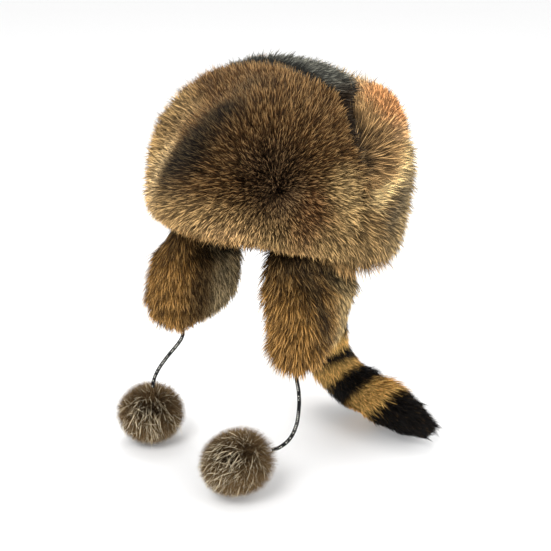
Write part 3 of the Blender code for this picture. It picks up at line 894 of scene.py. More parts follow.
def crown_facts(points, normals, down, side, foot):
    """The fur's comb, lay, length, trimmed height, colour, and the depth of its skin."""
    y = points[..., 1]
    both_sides = np.concatenate([np.abs(points[..., :1]), points[..., 1:]], -1)
    at_ear = near(both_sides, EAR_FAN, EAR_REACH) * (side > 0)
    reach = points[..., 0] / FUR_HALF_WIDTH
    from_edge = np.abs(y - seam_y(reach)) - strip_half_width(reach)
    above = between(points[..., 2], 0.078, 0.098)
    comb = crown_comb(points, normals, down, at_ear)
    lay = crown_lay(points, comb, down, side, from_edge, above)
    # the crease in front of each ear, painted nearly black as shade
    in_crease = between(np.abs(reach), 0.40, 0.50) * between(points[..., 2], 0.090, 0.102)
    wide = 0.016 if side > 0 else 0.004
    crease = (1 - ease((from_edge - wide * 0.4) / (wide * 0.8))) * in_crease
    coat = crown_coat(points, down, at_ear, from_edge, above, crease, in_crease)
    # length
    depth = ROOT_DEPTH - HEM_SHALLOWER * ease(down * 1.5 - 0.3)
    high = depth + 0.002 + 0.006 * between(y, 0.01, 0.06) + 0.010 * at_ear
    long = np.minimum((depth + 0.004) / np.cos(lay), LONGEST)
    room_down = points[..., 2] - foot + 0.005 + 0.028 * hanging(y)
    travel = np.maximum(-comb[..., 2] * np.sin(lay), 0.05)
    long = np.minimum(long, np.maximum(room_down / travel, SHORTEST_AT_HEM))
    long = (long + 0.010 * at_ear) * (1 - 0.45 * crease)
    if side < 0:
        long = long * (1 - 0.5 * in_crease * (1 - ease(from_edge / 0.018)))
    # lower beside the strip, and where the outline is flatter
    edge = (1 - ease(from_edge / 0.034)) * (1 - ease(2 * down)) * above
    on_top = 1 - between(np.abs(reach), 0.35, 0.60)
    start, end, flat_reach, flat_depth = FLATTER
    drop = edge * (0.008 if side > 0 else -0.003 + 0.007 * on_top)
    drop = drop + flat_depth * near_line(points, start, end, flat_reach)
    return comb, lay, long, high, coat, depth + drop


print("crown facts ready")

# %% [markdown]
# ### The two panels
# A panel's skin starts at the dark strip, runs over the crown to the lower edge, and goes
# on under the edge and back up along the hide, so that the skin is closed.

# %% Crown panels
CROWN_COLUMNS, CROWN_ROWS = 96, 60
ROWS_UNDER_EDGE = 2


def panel_surface(side):
    """Points of the fur's outline, from the strip down, with what the facts need."""
    u = np.linspace(0.004, 0.996, CROWN_COLUMNS)[:, None]
    v = np.linspace(0.0, 0.92, CROWN_ROWS)[None, :]
    start = math.asin((seam_y(1.0) + side * STRIP_END) / FUR_HALF_LENGTH)
    turn = start + (math.pi - 2 * start if side > 0 else -(math.pi + 2 * start)) * u
    reach = STRIP_REACH * np.cos(np.pi * u)
    y = seam_y(reach) + side * strip_half_width(reach)
    outer = on_fur(FUR_HALF_WIDTH * reach, y)
    brow = np.stack([FUR_HALF_WIDTH * np.cos(turn), FUR_HALF_LENGTH * np.sin(turn)], -1)
    along = np.sin(np.pi / 2 * np.minimum(v / DOME_SHARE, 1)) ** (2 / FUR_ROUNDNESS)
    xy = outer[..., :2] + (brow - outer[..., :2]) * along[..., None]
    dome = on_fur(xy[..., 0], xy[..., 1])
    down = np.clip((v - DOME_SHARE) / (1 - DOME_SHARE), 0, 1) + 0 * u
    drawn = brow * (1 - SKIRT_TUCK * down[..., None] ** 2.5)
    height = FUR_MIDDLE + (skirt_foot(brow[..., 1]) - FUR_MIDDLE) * down
    skirt = np.concatenate([drawn, height[..., None]], -1)
    points = np.where((down > 0)[..., None], skirt, dome)
    return points, down, brow, turn[:, 0], reach[:, 0], y[:, 0]


def panel_inside(last, turn, reach, y):
    """Under the lower edge, in to the hide, and back up along it to the strip."""
    foot = np.stack([HIDE_SEAT[0] * np.cos(turn), HIDE_SEAT[1] * np.sin(turn)], -1)

    def foot_at(height):
        return np.concatenate([foot, np.full((len(foot), 1), height)], -1)

    inner_end = on_hide_seat(HIDE_SEAT[0] * reach, y)
    inside = []
    for share in (0.4, 0.8):
        point = last * (1 - share) + foot_at(0.004) * share
        point[:, 2] -= 0.004 * (1 - share)
        inside.append(point)
    inside += [foot_at(0.004), foot_at(0.03)]
    for share in (0.9, 0.75, 0.6, 0.4, 0.2, 0.0):
        flat = inner_end[:, :2] + (foot - inner_end[:, :2]) * share
        inside.append(on_hide_seat(flat[:, 0], flat[:, 1]))
    return np.stack(inside, 1)

print("panels have", CROWN_COLUMNS, "by", CROWN_ROWS, "points outside")

# %% [markdown]
# ### Growing the crown's fur
# The roots lie below the outline by the fur's depth. Under the lower edge the hair grows
# outwards and down, so that the edge is full when seen from below.

# %% Crown fur
def crown_panel(name, side, finish):
    points, down, brow, turn, reach, y = panel_surface(side)
    normals = fur_outward(points)
    foot = skirt_foot(brow[..., 1]) + 0 * down
    comb, lay, long, high, coat, depth = crown_facts(points, normals, down, side, foot)
    roots = points - normals * depth[..., None]
    inside = panel_inside(roots[:, -1], turn, reach, y)
    grid = np.concatenate([roots, inside], 1)
    more = inside.shape[1]

    def wider(values, fill):
        shape = (values.shape[0], more) + values.shape[2:]
        return np.concatenate([values, np.broadcast_to(fill, shape)], 1)

    # more hairs at the whorl, where they stand up and would show the skin
    dense = wider(1 + 2.2 * near(points, WHORL, 0.04), 0.0)
    dense[:, CROWN_ROWS:CROWN_ROWS + ROWS_UNDER_EDGE] = 1.0
    outwards = fur_outward(grid[:, CROWN_ROWS:CROWN_ROWS + 1])
    hung = hanging(brow[:, :1, 1])
    facts = {
        "comb": leaned(wider(comb, (0.0, 0.0, -1.0) + 0.6 * outwards)),
        "lay": wider(lay, math.radians(60)), "long": wider(long, 0.018 + 0.019 * hung),
        "high": wider(high, 0.012 + 0.019 * hung), "coat": wider(coat, COAT_BROWN),
        "dense": dense,
    }
    return skin_mesh(name, leaned(grid), facts, finish)


brown_underfur = underfur_finish("brown underfur", 0.3)
brown_fur = two_coats("brown fur", linear(215, 184, 130))
front = grow_coats(
    "fur_front", crown_panel("fur_front_underfur", -1, brown_underfur), brown_fur,
    fine=120000, guard=25000, seed=1,
)
back = grow_coats(
    "fur_back", crown_panel("fur_back_underfur", 1, brown_underfur), brown_fur,
    fine=105000, guard=22000, seed=2,
)

# %% [markdown]
# ## Dark strip
# Short grey fur along the seam from ear to ear.

# %% Strip
STRIP_CLEARANCE = 0.0013
STRIP_ACROSS = (-1, -0.5, 0, 0.5, 1)


def strip_skin(name, finish):
    reach = STRIP_REACH * np.cos(np.pi * np.linspace(0.02, 0.98, 90))
    sink = 0.006 + 0.014 * between(np.abs(reach), 0.50, 0.78)
    tops, bottoms = [], []
    for across in STRIP_ACROSS:
        y = seam_y(reach) + across * (strip_half_width(reach) - STRIP_CLEARANCE)
        outer = on_fur(FUR_HALF_WIDTH * reach, y)
        inner = on_hide_seat(HIDE_SEAT[0] * reach, y)
        tops.append(outer + unit(inner - outer) * sink[:, None])
        bottoms.append(inner)
    grid = np.stack(tops + bottoms[::-1], 1)
    flat = np.zeros(grid.shape[:2])
    dense = flat.copy()
    dense[:, :len(STRIP_ACROSS)] = 1
    comb = np.zeros(grid.shape) + (0.0, 0.8, 0.0)
    comb[..., 0] = reach[:, None] * 1.2
    # painted shade: the strip's grey darkens towards its ends, where it runs into the creases
    darker = between(np.abs(reach), 0.42, 0.62)[:, None] + flat
    facts = {
        "comb": leaned(comb), "lay": flat + math.radians(58), "long": flat + 0.018,
        "coat": mixed(COAT_GREY, STRIP_END_SHADE * 0.4, darker), "dense": dense,
    }
    return skin_mesh(name, leaned(grid), facts, finish)


grey_fur = two_coats("grey fur", linear(150, 146, 132), root_share=0.15)
strip = grow_coats(
    "crown_strip", strip_skin("crown_strip_underfur", brown_underfur), grey_fur,
    fine=20000, guard=4000, seed=3,
)

# %% [markdown]
# ## Ears
# Round lobes at the top corners of the crown. Only the rear half of a lobe stands out: the
# front half lies below the ends of the crown's fur, so that no edge shows between them.

# %% Ears
EAR_PLACE = (0.79, 0.20, 0.575)
EAR_HALF_WIDTH, EAR_HALF_HEIGHT, EAR_DEPTH, EAR_UPWARD = 0.030, 0.033, 0.016, 0.55
EAR_SKIN_SHARE, EAR_SKIN_RISE = 0.92, 0.42
EAR_FRONT_SUNK = 0.011
FACET_GAP = 0.0007
EAR_ORANGE, EAR_RIM = linear(184, 130, 82), linear(180, 144, 102)


def on_dome(points):
    middle = np.array([0, 0, FUR_MIDDLE])
    away = np.asarray(points, float) - middle
    ring = np.hypot(away[..., 0] / FUR_HALF_WIDTH, away[..., 1] / FUR_HALF_LENGTH)
    power = FUR_ROUNDNESS
    stretch = (ring**power + (np.maximum(away[..., 2], 0) / FUR_DOME) ** power) ** (1 / power)
    return middle + away / stretch[..., None]


def there_and_back(values):
    """The rings of a lobe's top, then those of its base in the other order."""
    return np.concatenate([values, values[::-1]], 0)


def ear_skin(name, side, finish):
    mirror = np.array((side, 1, 1))
    centre = on_dome(np.array(EAR_PLACE) * mirror + (0, 0, FUR_MIDDLE))
    out = fur_outward(centre)
    along = unit(np.cross((0, 0, 1), out)) * side
    up = unit(np.cross(out, along)) * side
    lean = unit(out + np.array([0, 0, EAR_UPWARD]))
    radius = np.sin(np.pi / 2 * np.linspace(0.06, 1, 12))[:, None] * EAR_SKIN_SHARE
    turn = np.linspace(0, 2 * np.pi, 33)[:-1][None, :]
    flat = centre + (along * (EAR_HALF_WIDTH * radius * np.cos(turn))[..., None]
                     + up * (EAR_HALF_HEIGHT * radius * np.sin(turn))[..., None])
    ahead = flat[..., 1] - centre[1]
    rear = between(ahead, -0.016, 0.010)
    round_off = np.maximum(1 - (radius / 0.93) ** 2, 0) ** 1.1
    rise = EAR_DEPTH * EAR_SKIN_RISE * round_off * (0.15 + 0.85 * rear)
    foot = on_dome(flat)
    foot = foot - fur_outward(foot) * (EAR_FRONT_SUNK * (1 - rear))[..., None]
    top = foot + lean * rise[..., None]
    base = foot[::-1] + fur_outward(foot[::-1]) * FACET_GAP
    comb = tangent(ear_comb(flat * mirror) * mirror, fur_outward(foot))
    share = there_and_back(radius) + 0 * turn
    more = 0.008 if side < 0 else 0.0
    coat = mixed(EAR_ORANGE, EAR_RIM, ease(share * 1.8 - 0.6))
    coat = mixed(coat, COAT_BESIDE_EAR, ease(-there_and_back(ahead) / 0.022))
    facts = {
        "comb": leaned(there_and_back(comb)), "lay": np.radians(46 + 12 * share),
        "long": 0.018 + 0.004 * share + more, "high": 0.010 - 0.003 * share + more,
        "coat": coat, "dense": np.concatenate([0.4 + 0.6 * rear, 0 * rear], 0),
    }
    return skin_mesh(name, leaned(np.concatenate([top, base], 0)), facts, finish)


ear_fur = two_coats("ear fur", linear(238, 200, 146), root_share=0.42)
ears = {}
for word, side in (("left", 1), ("right", -1)):
    skin = ear_skin("ear_" + word + "_underfur", side, brown_underfur)
    ears[word] = grow_coats(
        "ear_" + word, skin, ear_fur, fine=22000, guard=5000, seed=20 + side
    )

# %% [markdown]
# ## Ear flaps
# Thick pads that hang from the rim, with fur combed down.

# %% Flaps
FLAP_LENGTH, FLAP_WIDTH, FLAP_THICKNESS = 0.123, 0.108, 0.064
FLAP_INSET, FLAP_MIDDLE_Y = 0.0070, -0.029
FLAP_FORWARD = math.tan(math.radians(3))
FLAP_FLARE = math.tan(math.radians(2))
FLAP_SPLAY = math.tan(math.radians(12))
SEAT_GAP = 0.0004
FLAP_SECTIONS = (
    (0.00, 0.72, 0.42, 0.00), (0.10, 0.86, 0.50, 0.00), (0.19, 0.95, 0.68, 0.00),
    (0.32, 1.00, 1.00, 0.01), (0.38, 1.00, 1.00, 0.01), (0.52, 0.99, 1.00, 0.02),
    (0.58, 0.98, 1.00, 0.03), (0.71, 0.94, 0.98, 0.05), (0.77, 0.90, 0.94, 0.07),
    (0.87, 0.78, 0.84, 0.11), (0.92, 0.66, 0.74, 0.14), (0.97, 0.46, 0.54, 0.18),
    (1.00, 0.12, 0.16, 0.20),
)
FLAP_ROOT_DEPTH = 0.010
FLAP_SKIN_SHARE = {"left": 0.86, "right": 0.89}    # of the flap's length
FLAP_FRONT, FLAP_REAR, FLAP_INNER = (
    linear(136, 99, 50), linear(158, 136, 96), linear(150, 135, 106)
)
# painted shade: a streak on each flap's outer face and a band on its inner face; the top colour is
# dark hair with painted shade under the brim
FLAP_SHADE_STREAK, FLAP_TOP_HAIR_AND_SHADE = linear(40, 29, 16), linear(48, 36, 22)


def rim_x(y, inset):
    share = np.minimum(np.abs(y) / HIDE_HALF[1], 0.99)
    return HIDE_HALF[0] * np.sqrt(1 - share * share) - inset


def flap_point(side, y, out, down, level_y):
    """A point of a flap: this far along, this far out, and this share of its length down."""
    bend = level_y + (y - level_y) * np.maximum(1 - 1.6 * down, 0)
    splay = FLAP_SPLAY * (FLAP_MIDDLE_Y - y) * ease(2 * down)
    x = side * (rim_x(bend, FLAP_INSET) + out + splay)
    rim = leaned(np.stack([x, y, np.full(np.shape(x), -SEAT_GAP)], -1))
    level = leaned(np.stack([0 * x, level_y + 0 * x, np.full(np.shape(x), -SEAT_GAP)], -1))
    height = rim[..., 2] + (level[..., 2] - rim[..., 2]) * ease(down / 0.4)
    return np.stack([
        rim[..., 0] + side * FLAP_FLARE * FLAP_LENGTH * down,
        rim[..., 1] - FLAP_FORWARD * FLAP_LENGTH * down,
        height - FLAP_LENGTH * down,
    ], -1)

print("a flap is", (FLAP_LENGTH, FLAP_WIDTH, FLAP_THICKNESS), "long, wide and thick")

# %% [markdown]
# ### A flap's skin and colours
# The skin is smaller than the pad by the fur's depth. Its front edge has longer hair that
# stands out more.

# %% Flap fur
def squared(values):
    """Sines and cosines that give an oval flat faces and round edges."""
    return np.copysign(np.abs(values) ** 0.8, values)


def flap_coat(y, down, outer, side):
    """Brown in front, greyer behind, dark at the top (dark hair with painted shade under the brim),
    and with a streak of painted shade on each face.
    """
    rear = between(y, -0.050, -0.020)
    coat = mixed(FLAP_FRONT, FLAP_REAR, rear)
    coat = np.where(outer[..., None], coat, mixed(coat, FLAP_INNER, 0.85 * rear))
    shade_streak = (1 - ease(np.abs(y + 0.0555) / 0.013)) * ease((0.72 - down) / 0.25) * outer
    shade_band = (1 - ease((np.abs(y + 0.048) - 0.006) / 0.014)) * ease((0.95 - down) / 0.3) * ~outer
    # painted shade: the streak on the outer face and the band on the inner face
    coat = mixed(coat, FLAP_SHADE_STREAK, np.maximum(shade_streak, 0.8 * shade_band))
    # dark at the top: partly dark hair, partly painted shade under the brim
    return mixed(coat, FLAP_TOP_HAIR_AND_SHADE, (0.8 if side > 0 else 0.5) * (1 - ease(down / 0.30)))


def flap_skin(name, word, side, finish):
    rows = np.linspace(0, 1, 40)
    table = np.array(FLAP_SECTIONS)
    wide, thick, tuck = (np.interp(rows, table[:, 0], table[:, i])[:, None] for i in (1, 2, 3))
    rows = rows[:, None]
    down = rows * FLAP_SKIN_SHARE[word]
    level = FLAP_MIDDLE_Y - tuck * FLAP_WIDTH
    turn = np.linspace(0, 2 * np.pi, 49)[:-1][None, :]
    depth = FLAP_ROOT_DEPTH * np.minimum(1, 0.25 + rows * 3)
    half_width = np.maximum(FLAP_WIDTH / 2 * wide - depth, 0.002)
    half_thick = np.maximum(FLAP_THICKNESS / 2 * thick - depth, 0.002)
    y = level + half_width * squared(np.cos(turn))
    out = half_thick * squared(np.sin(turn))
    flat = np.zeros(y.shape)
    grid = flap_point(side, y, out, down + flat, level + flat)
    fore = ease(-np.cos(turn) * 1.6) * (1.0 if side > 0 else 0.5)
    facts = {
        "comb": np.zeros(grid.shape) + (0, 0, -1.0), "lay": np.radians(58 - 16 * fore) + flat,
        "long": 0.026 + 0.006 * fore - 0.010 * ease(rows * 3 - 2) + flat,
        "high": depth + 0.002 + 0.011 * fore,
        "coat": flap_coat(y, down, np.sin(turn) + flat > 0, side), "dense": flat + 1,
    }
    return skin_mesh(name, grid, facts, finish)


flaps = {}
for word, side in (("left", 1), ("right", -1)):
    skin = flap_skin("flap_" + word + "_underfur", word, side, brown_underfur)
    flaps[word] = grow_coats(
        "flap_" + word, skin, brown_fur, fine=50000, guard=12000, seed=30 + side
    )

# %% [markdown]
# ## Tail
# A thick ringed tail that hangs from the nape and turns to the wearer's left.

# %% Tail
TAIL_RADIUS, TAIL_REACH, TAIL_ROOT_INSET = 0.030, 0.220, 0.008
TAIL_PATH = (
    (0.000, 0.000, 0.000), (-0.016, 0.012, 0.141), (-0.040, 0.028, 0.281),
    (-0.070, 0.044, 0.415), (-0.094, 0.056, 0.545), (-0.092, 0.066, 0.668),
    (-0.050, 0.068, 0.776), (0.048, 0.064, 0.850), (0.184, 0.050, 0.876),
    (0.328, 0.034, 0.890), (0.468, 0.022, 0.912), (0.604, 0.032, 0.944),
)
TAIL_SECTIONS = (
    (0.00, 0.50), (0.06, 0.62), (0.13, 0.80), (0.19, 0.88), (0.27, 0.97), (0.33, 0.95),
    (0.41, 1.02), (0.47, 0.97), (0.55, 1.04), (0.61, 0.97), (0.68, 1.02), (0.74, 0.92),
    (0.80, 1.00), (0.85, 0.88), (0.90, 0.80), (0.94, 0.60), (0.98, 0.36), (1.00, 0.12),
)
TAIL_RINGS = (
    (0.10, 0.16), (0.235, 0.30), (0.37, 0.435), (0.50, 0.56), (0.634, 0.742), (0.838, 1.2)
)
TAIL_RING_AHEAD = 0.045    # the hair's tips lie this share further on than its roots
TAIL_RING_SLANT = 0.028
TAIL_RING_FADE = 0.02
TAIL_SKIN_SHARE, TAIL_SKIN_END = 0.62, 0.975
TAIL_YELLOW, TAIL_BLACK = linear(246, 200, 118), linear(24, 22, 21)


def smooth_point(points, share):
    """A point on the smooth curve through evenly spaced points (Catmull-Rom)."""
    spans = len(points) - 1
    place = min(max(share, 0.0), 1.0) * spans
    index = min(int(place), spans - 1)
    t = place - index
    near, far = points[index], points[index + 1]
    before = points[index - 1] if index else near * 2 - far
    after = points[index + 2] if index + 2 <= spans else far * 2 - near
    return 0.5 * (
        2 * near
        + (far - before) * t
        + (2 * before - 5 * near + 4 * far - after) * t * t
        + (3 * near - before - 3 * far + after) * t * t * t
    )

print("tail follows", len(TAIL_PATH), "points and has", len(TAIL_RINGS), "dark rings")

# %% [markdown]
# ### The tail's skin
# The hair's tips lie further on than its roots, so each ring's colour starts ahead of it.

# %% Tail fur
def tail_skin(name, finish):
    root = leaned((0, HIDE_HALF[1] - TAIL_ROOT_INSET, -SEAT_GAP))
    path = [root + np.array((x, y, -down)) * TAIL_REACH for x, y, down in TAIL_PATH]
    table = np.array(TAIL_SECTIONS)
    shares = np.linspace(0, TAIL_SKIN_END, 110)
    turn = np.linspace(0, 2 * np.pi, 25)[:-1][:, None]
    grid, comb, coat, long, high = [], [], [], [], []
    for share in shares:
        centre = smooth_point(path, share)
        ahead = unit(smooth_point(path, share + 0.02) - smooth_point(path, share - 0.02))
        across = unit(np.cross(ahead, (0, 1, 0)))
        spokes = np.cos(turn) * across + np.sin(turn) * np.cross(ahead, across)
        radius = TAIL_RADIUS * np.interp(share, table[:, 0], table[:, 1]) * TAIL_SKIN_SHARE
        grid.append(centre + spokes * radius)
        comb.append(np.broadcast_to(ahead, spokes.shape))
        reached = share + TAIL_RING_AHEAD - TAIL_RING_SLANT * spokes[:, 2]
        dark = np.max([
            ease((reached - a) / TAIL_RING_FADE + 0.5) * ease((b - reached) / TAIL_RING_FADE + 0.5)
            for a, b in TAIL_RINGS
        ], 0)
        coat.append(mixed(TAIL_YELLOW, TAIL_BLACK, dark))
        at_end = ease(share * 4 - 3)
        long.append(np.full(len(turn), 0.030 * (1 - 0.35 * at_end)))
        high.append((TAIL_RADIUS * 0.40 + 0.005 * spokes[:, 2]) * (1 - 0.3 * at_end))
    flat = np.zeros(np.shape(high))
    lay = np.radians(50 + 28 * ease(shares * 6 - 5))[:, None] + flat
    facts = {"comb": comb, "lay": lay, "long": long, "high": high, "coat": coat, "dense": flat + 1}
    return skin_mesh(name, np.array(grid), facts, finish)


tail_fur = (
    fur_finish("tail fur, fine hair", linear(190, 150, 84), 0.06, 0.12, 0.3, 0.5),
    fur_finish("tail fur, guard hair", linear(200, 156, 88), 0.10, 0.16, 0.3, 0.5),
)
tail_underfur = tail_skin("tail_underfur", brown_underfur)
tail = grow_coats("tail", tail_underfur, tail_fur, fine=60000, guard=14000, seed=40)

# %% [markdown]
# ## Cords
# A thin braided tie from the foot of each flap.

# %% Cords
CORD_DIAMETER = 0.004
ROUTES = {
    "left": (
        (0.0000, 0.0000, 0.0000), (0.0000, 0.0000, -0.0066), (0.0006, 0.0010, -0.0133),
        (0.0011, 0.0019, -0.0200), (0.0014, 0.0024, -0.0267), (0.0015, 0.0025, -0.0334),
        (0.0013, 0.0022, -0.0401), (0.0010, 0.0017, -0.0468), (0.0005, 0.0008, -0.0535),
        (-0.0005, -0.0009, -0.0600), (-0.0019, -0.0033, -0.0661), (-0.0038, -0.0066, -0.0714),
        (-0.0063, -0.0109, -0.0755), (-0.0092, -0.0159, -0.0783), (-0.0124, -0.0214, -0.0796),
    ),
    "right": (
        (0.0000, 0.0000, 0.0000), (0.0000, 0.0000, -0.0048), (-0.0008, -0.0012, -0.0092),
        (-0.0024, -0.0032, -0.0135), (-0.0044, -0.0059, -0.0177), (-0.0066, -0.0087, -0.0219),
        (-0.0088, -0.0115, -0.0261), (-0.0109, -0.0143, -0.0304), (-0.0130, -0.0168, -0.0347),
        (-0.0149, -0.0193, -0.0391), (-0.0166, -0.0215, -0.0436), (-0.0180, -0.0234, -0.0482),
        (-0.0192, -0.0249, -0.0530), (-0.0199, -0.0260, -0.0579), (-0.0204, -0.0264, -0.0629),
    ),
}


BRAID_LOBES, BRAID_PITCH = 2, 1500    # round the cord, and radians for each metre along it
BRAID_BLACK, BRAID_FLECK = (0.008, 0.008, 0.009), (0.85, 0.82, 0.74)


def braid_finish(name):
    made, shader, place = new_finish(name)
    flat = place.node("ShaderNodeUVMap", {"uv_map": "UVMap"})
    split = place.node("ShaderNodeSeparateXYZ", _0=Wire(place.tree, flat.outputs[0]))
    around, far = (Wire(place.tree, split.outputs[i]) for i in (0, 1))
    lobes = around * (2 * math.pi * BRAID_LOBES)
    crossing = (lobes + far * BRAID_PITCH).wave() * (lobes - far * BRAID_PITCH).wave()
    fleck = crossing.step(0.35, 0.6) * noise(place, 300, 1).step(0.46, 0.52)
    put(place.tree, shader.inputs["Base Color"], fleck.tint(BRAID_BLACK, BRAID_FLECK))
    put(place.tree, shader.inputs["Roughness"], 0.8 - fleck * 0.3)
    shader.inputs["Specular IOR Level"].default_value = 0.15
    bumped(shader, place, crossing, 0.7, 0.0006)
    return made


braid = braid_finish("black braid with pale flecks")

print("braid ready")

# %% [markdown]
# ### The tube
# A smooth line through the chosen points, with a ring of points round each of its steps.

# %% Cord tubes
def flap_foot(side):
    y = np.array(FLAP_MIDDLE_Y - FLAP_SECTIONS[-1][3] * FLAP_WIDTH)
    return flap_point(side, y, np.array(0.0), 1.0, y)


TUBE_SIDES, TUBE_RINGS = 16, 240


def unrolled(made, travel):
    """UV: the share of the way round, and metres along."""
    loops = np.zeros(len(made.data.loops), int)
    made.data.loops.foreach_get("vertex_index", loops)
    around = loops % TUBE_SIDES / TUBE_SIDES
    for polygon in made.data.polygons:
        if polygon.loop_total == 4:
            piece = around[polygon.loop_start:polygon.loop_start + 4]
            if piece.max() - piece.min() > 0.5:
                piece[piece < 0.5] += 1
    layer = made.data.uv_layers.new(name="UVMap")
    layer.data.foreach_set("uv", np.stack([around, travel[loops // TUBE_SIDES]], -1).ravel())


def braided_tube(name, points, diameter, finish):
    """A tube with braided swellings, its middle line and its length."""
    line = np.array([smooth_point(points, i / (TUBE_RINGS - 1)) for i in range(TUBE_RINGS)])
    ahead = unit(np.gradient(line, axis=0))
    across = unit(np.cross(ahead, (0.35, 0.93, 0.1)))[:, None]
    square = np.cross(ahead, across[:, 0])[:, None]
    travel = np.concatenate([[0], np.cumsum(np.linalg.norm(np.diff(line, axis=0), axis=1))])
    turn = np.linspace(0, 2 * np.pi, TUBE_SIDES + 1)[:-1]
    swell = 1 - 0.06 * np.abs(np.sin(3 * turn[None] + 1300 * travel[:, None]))
    spokes = np.cos(turn)[None, :, None] * across + np.sin(turn)[None, :, None] * square
    grid = line[:, None] + spokes * (diameter / 2 * swell)[..., None]
    made = skin_mesh(name, grid, {}, finish)
    unrolled(made, travel)
    return made, line, float(travel[-1])


cords = {}
for word, side in (("left", 1), ("right", -1)):
    exit_point = flap_foot(side) - np.array((0, 0, SEAT_GAP))
    points = [exit_point + np.array(step) for step in ROUTES[word]]
    tube, line, length = braided_tube("cord_" + word + "_braid", points, CORD_DIAMETER, braid)
    cords[word] = (tube, line, length, exit_point)
    print("cord", word, "is", round(length * 1000, 1), "mm long")

# %% [markdown]
# ## Pompoms
# Balls of fur at the ends of the ties, with long pale guard hairs.

# %% Pompoms
POMPOMS = {"left": (0.039, 0.033), "right": (0.031, 0.037)}    # half along, half across
CORE_SHARE, GUARD_CORE_SHARE = 0.40, 0.74


def pompom_skin(name, word, finish, guard=False):
    """A small core for the fine hair, or a larger one for the guard hair."""
    line = cords[word][1]
    half_length, half_width = POMPOMS[word]
    core = GUARD_CORE_SHARE if guard else CORE_SHARE
    ahead = unit(line[-1] - line[-4])
    centre = line[-1] + ahead * (SEAT_GAP + half_length)
    across = unit(np.cross(ahead, (1, 0, 0)))
    square = np.cross(ahead, across)
    polar = np.linspace(0.12, np.pi - 0.05, 28)[:, None]
    turn = np.linspace(0, 2 * np.pi, 33)[:-1][None, :]
    spoke = np.cos(turn)[..., None] * across + np.sin(turn)[..., None] * square
    outward = -ahead * np.cos(polar)[..., None] + spoke * np.sin(polar)[..., None]
    flat = np.zeros((polar + turn).shape)
    along = (half_length * core * np.cos(polar) + flat)[..., None]
    aside = (half_width * core * np.sin(polar))[..., None]
    grid = centre - ahead * along + spoke * aside
    size = np.sqrt((half_length * np.cos(polar)) ** 2 + (half_width * np.sin(polar)) ** 2)
    # hairs at the sides and round the cord are longer than those at the far end
    by_cord, far = np.maximum(np.cos(polar), 0), np.maximum(-np.cos(polar), 0)
    size = size * (1 + 0.10 * np.sin(polar) ** 2 + 0.30 * by_cord - 0.06 * far) + flat
    down = np.array((0, 0, -1.0))
    if guard:
        # the guard hairs lie across the ball
        facts = {
            "comb": tangent(np.broadcast_to(ahead + 0.8 * down, grid.shape), outward) + 1e-6,
            "lay": np.radians(52) + flat, "long": 0.025 - 0.008 * far + flat,
            "high": size * (1 - core) * (1.2 - 0.32 * far),
            "coat": np.zeros(grid.shape) + linear(206, 190, 158),
        }
    else:
        facts = {
            "comb": tangent(np.broadcast_to(down, grid.shape), outward) + 1e-6,
            "lay": np.radians(12) + flat, "long": size * (1 - core) * 0.98,
            "coat": mixed(linear(106, 84, 56), linear(132, 108, 78), 0.5 + flat),
        }
    return skin_mesh(name, grid, {**facts, "dense": flat + 1}, finish)


pompom_fur = (
    fur_finish("pompom fur, fine hair", linear(196, 172, 132), 0.20, 0.22, 0.5, 0.6, 2.0),
    fur_finish(
        "pompom fur, guard hair", linear(246, 238, 214), 0.95, 0.0, 0.3, 0.5, 1.4,
        shown=(0.05, 0.35), cream=0.9,
    ),
)
pompom_underfur = underfur_finish("pompom underfur", 0.9)
POMPOM_FINE = {"Hair width": 0.0007, "Length share": 1.04, "Shortest": 0.75, "Gathering": 0.15}
POMPOM_GUARD = {"Hair width": 0.0005, "Unruliness": 0.9, "Shortest": 0.5, "Gathering": 0.0}
pompoms = {}
for word in ("left", "right"):
    name, seed = "pompom_" + word, 50 + len(word)
    skin = pompom_skin(name + "_underfur", word, pompom_underfur)
    ball = pompom_skin(name + "_ball", word, pompom_underfur, guard=True)
    pompoms[word] = [
        skin,
        grow(name + "_hair", skin, pompom_fur[0], "fine", 30000, Seed=seed, **POMPOM_FINE),
        grow(
            name + "_guard_hair", ball, pompom_fur[1], "guard", 1200,
            Seed=seed + GUARD_SEED, **POMPOM_GUARD,
        ),
    ]
    bpy.data.objects.remove(ball)

# %% [markdown]
# ## Hide
# The cap that the head goes into: a thin shell of suede, open below.

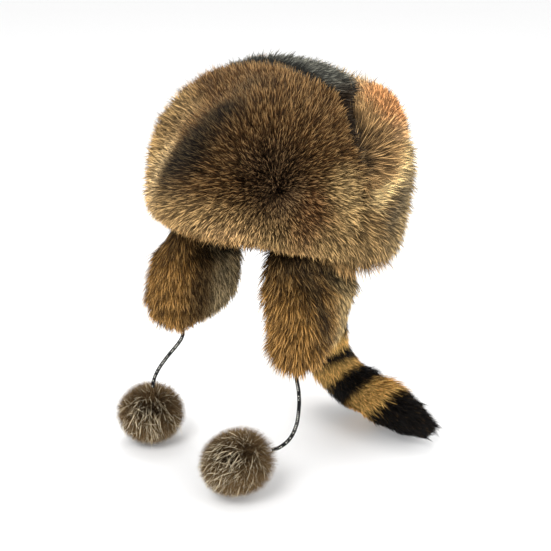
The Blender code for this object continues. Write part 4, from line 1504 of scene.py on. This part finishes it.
# %% Hide
def hide_layer(turn, wall):
    """The hide's dome and its upright part, this far in from its outside."""
    angle = np.radians(np.linspace(2, 90, 30))[:, None]
    ring = np.sin(angle) ** (2 / HIDE_ROUNDNESS)
    half = (HIDE_HALF[0] - wall, HIDE_HALF[1] - wall)
    rise = HIDE_HEIGHT - HIDE_STRAIGHT - wall
    up = rise * (1 - np.minimum(ring, 1) ** HIDE_ROUNDNESS) ** (1 / HIDE_ROUNDNESS)
    dome = np.stack([
        half[0] * ring * np.cos(turn), half[1] * ring * np.sin(turn), HIDE_STRAIGHT + up + 0 * turn
    ], -1)
    upright = []
    for height in (0.02, 0.01, 0.0):
        flat = dome[-1].copy()
        flat[:, 2] = height
        upright.append(flat)
    return np.concatenate([dome, np.array(upright)], 0)


def hide_skin(name, finish):
    turn = np.linspace(0, 2 * np.pi, 97)[:-1][None, :]
    outside, inside = hide_layer(turn, 0.0), hide_layer(turn, HIDE_WALL)
    return skin_mesh(name, leaned(np.concatenate([outside, inside[::-1]], 0)), {}, finish)


SUEDE_DARK, SUEDE_PALE = (0.16, 0.115, 0.075), (0.33, 0.26, 0.18)


def suede_finish(name):
    made, shader, place = new_finish(name)
    cloud = noise(place, 28, 3)
    nap = noise(place, 1100, 2)
    worn = (cloud * 0.6 + nap * 0.4).step(0.3, 0.7)
    put(place.tree, shader.inputs["Base Color"], worn.tint(SUEDE_DARK, SUEDE_PALE))
    put(place.tree, shader.inputs["Roughness"], 0.78 + nap * 0.15)
    bumped(shader, place, nap * 0.4 + cloud, 0.5, 0.0012)
    return made


hide = hide_skin("crown_hide_suede", suede_finish("suede hide"))
print("hide has", triangles_in(hide.data), "triangles")

# %% [markdown]
# ## Riding and replacing
# Every piece rides on the hat's one body and stands for its CAD solid.

# %% Riding
for blade in blades.values():
    bpy.data.objects.remove(blade)
standing_for = [(hide, "crown_hide", "hide")]
furs = [
    (front, "fur_front", "brown_fur"), (back, "fur_back", "brown_fur"),
    (strip, "crown_strip", "grey_fur"), (tail, "tail", "tail_fur"),
]
for word in ("left", "right"):
    furs += [
        (ears[word], "ear_" + word, "ear_fur"), (flaps[word], "flap_" + word, "brown_fur"),
        (pompoms[word], "pompom_" + word, "pompom_fur"),
    ]
for pieces, node, slot in furs:
    standing_for += [(piece, node, slot) for piece in pieces]
standing_for += [(cords[word][0], "cord_" + word, "braid") for word in ("left", "right")]
for piece, node, slot in standing_for:
    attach(piece, "root")
    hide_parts(node)
for word in ("left", "right"):
    tube, line, length, exit_point = cords[word]
print(len(standing_for), "pieces ride on the hat")

# %% [markdown]
# ## Update
# The scene is brought up to date.

# %% Update
bpy.context.view_layer.update()
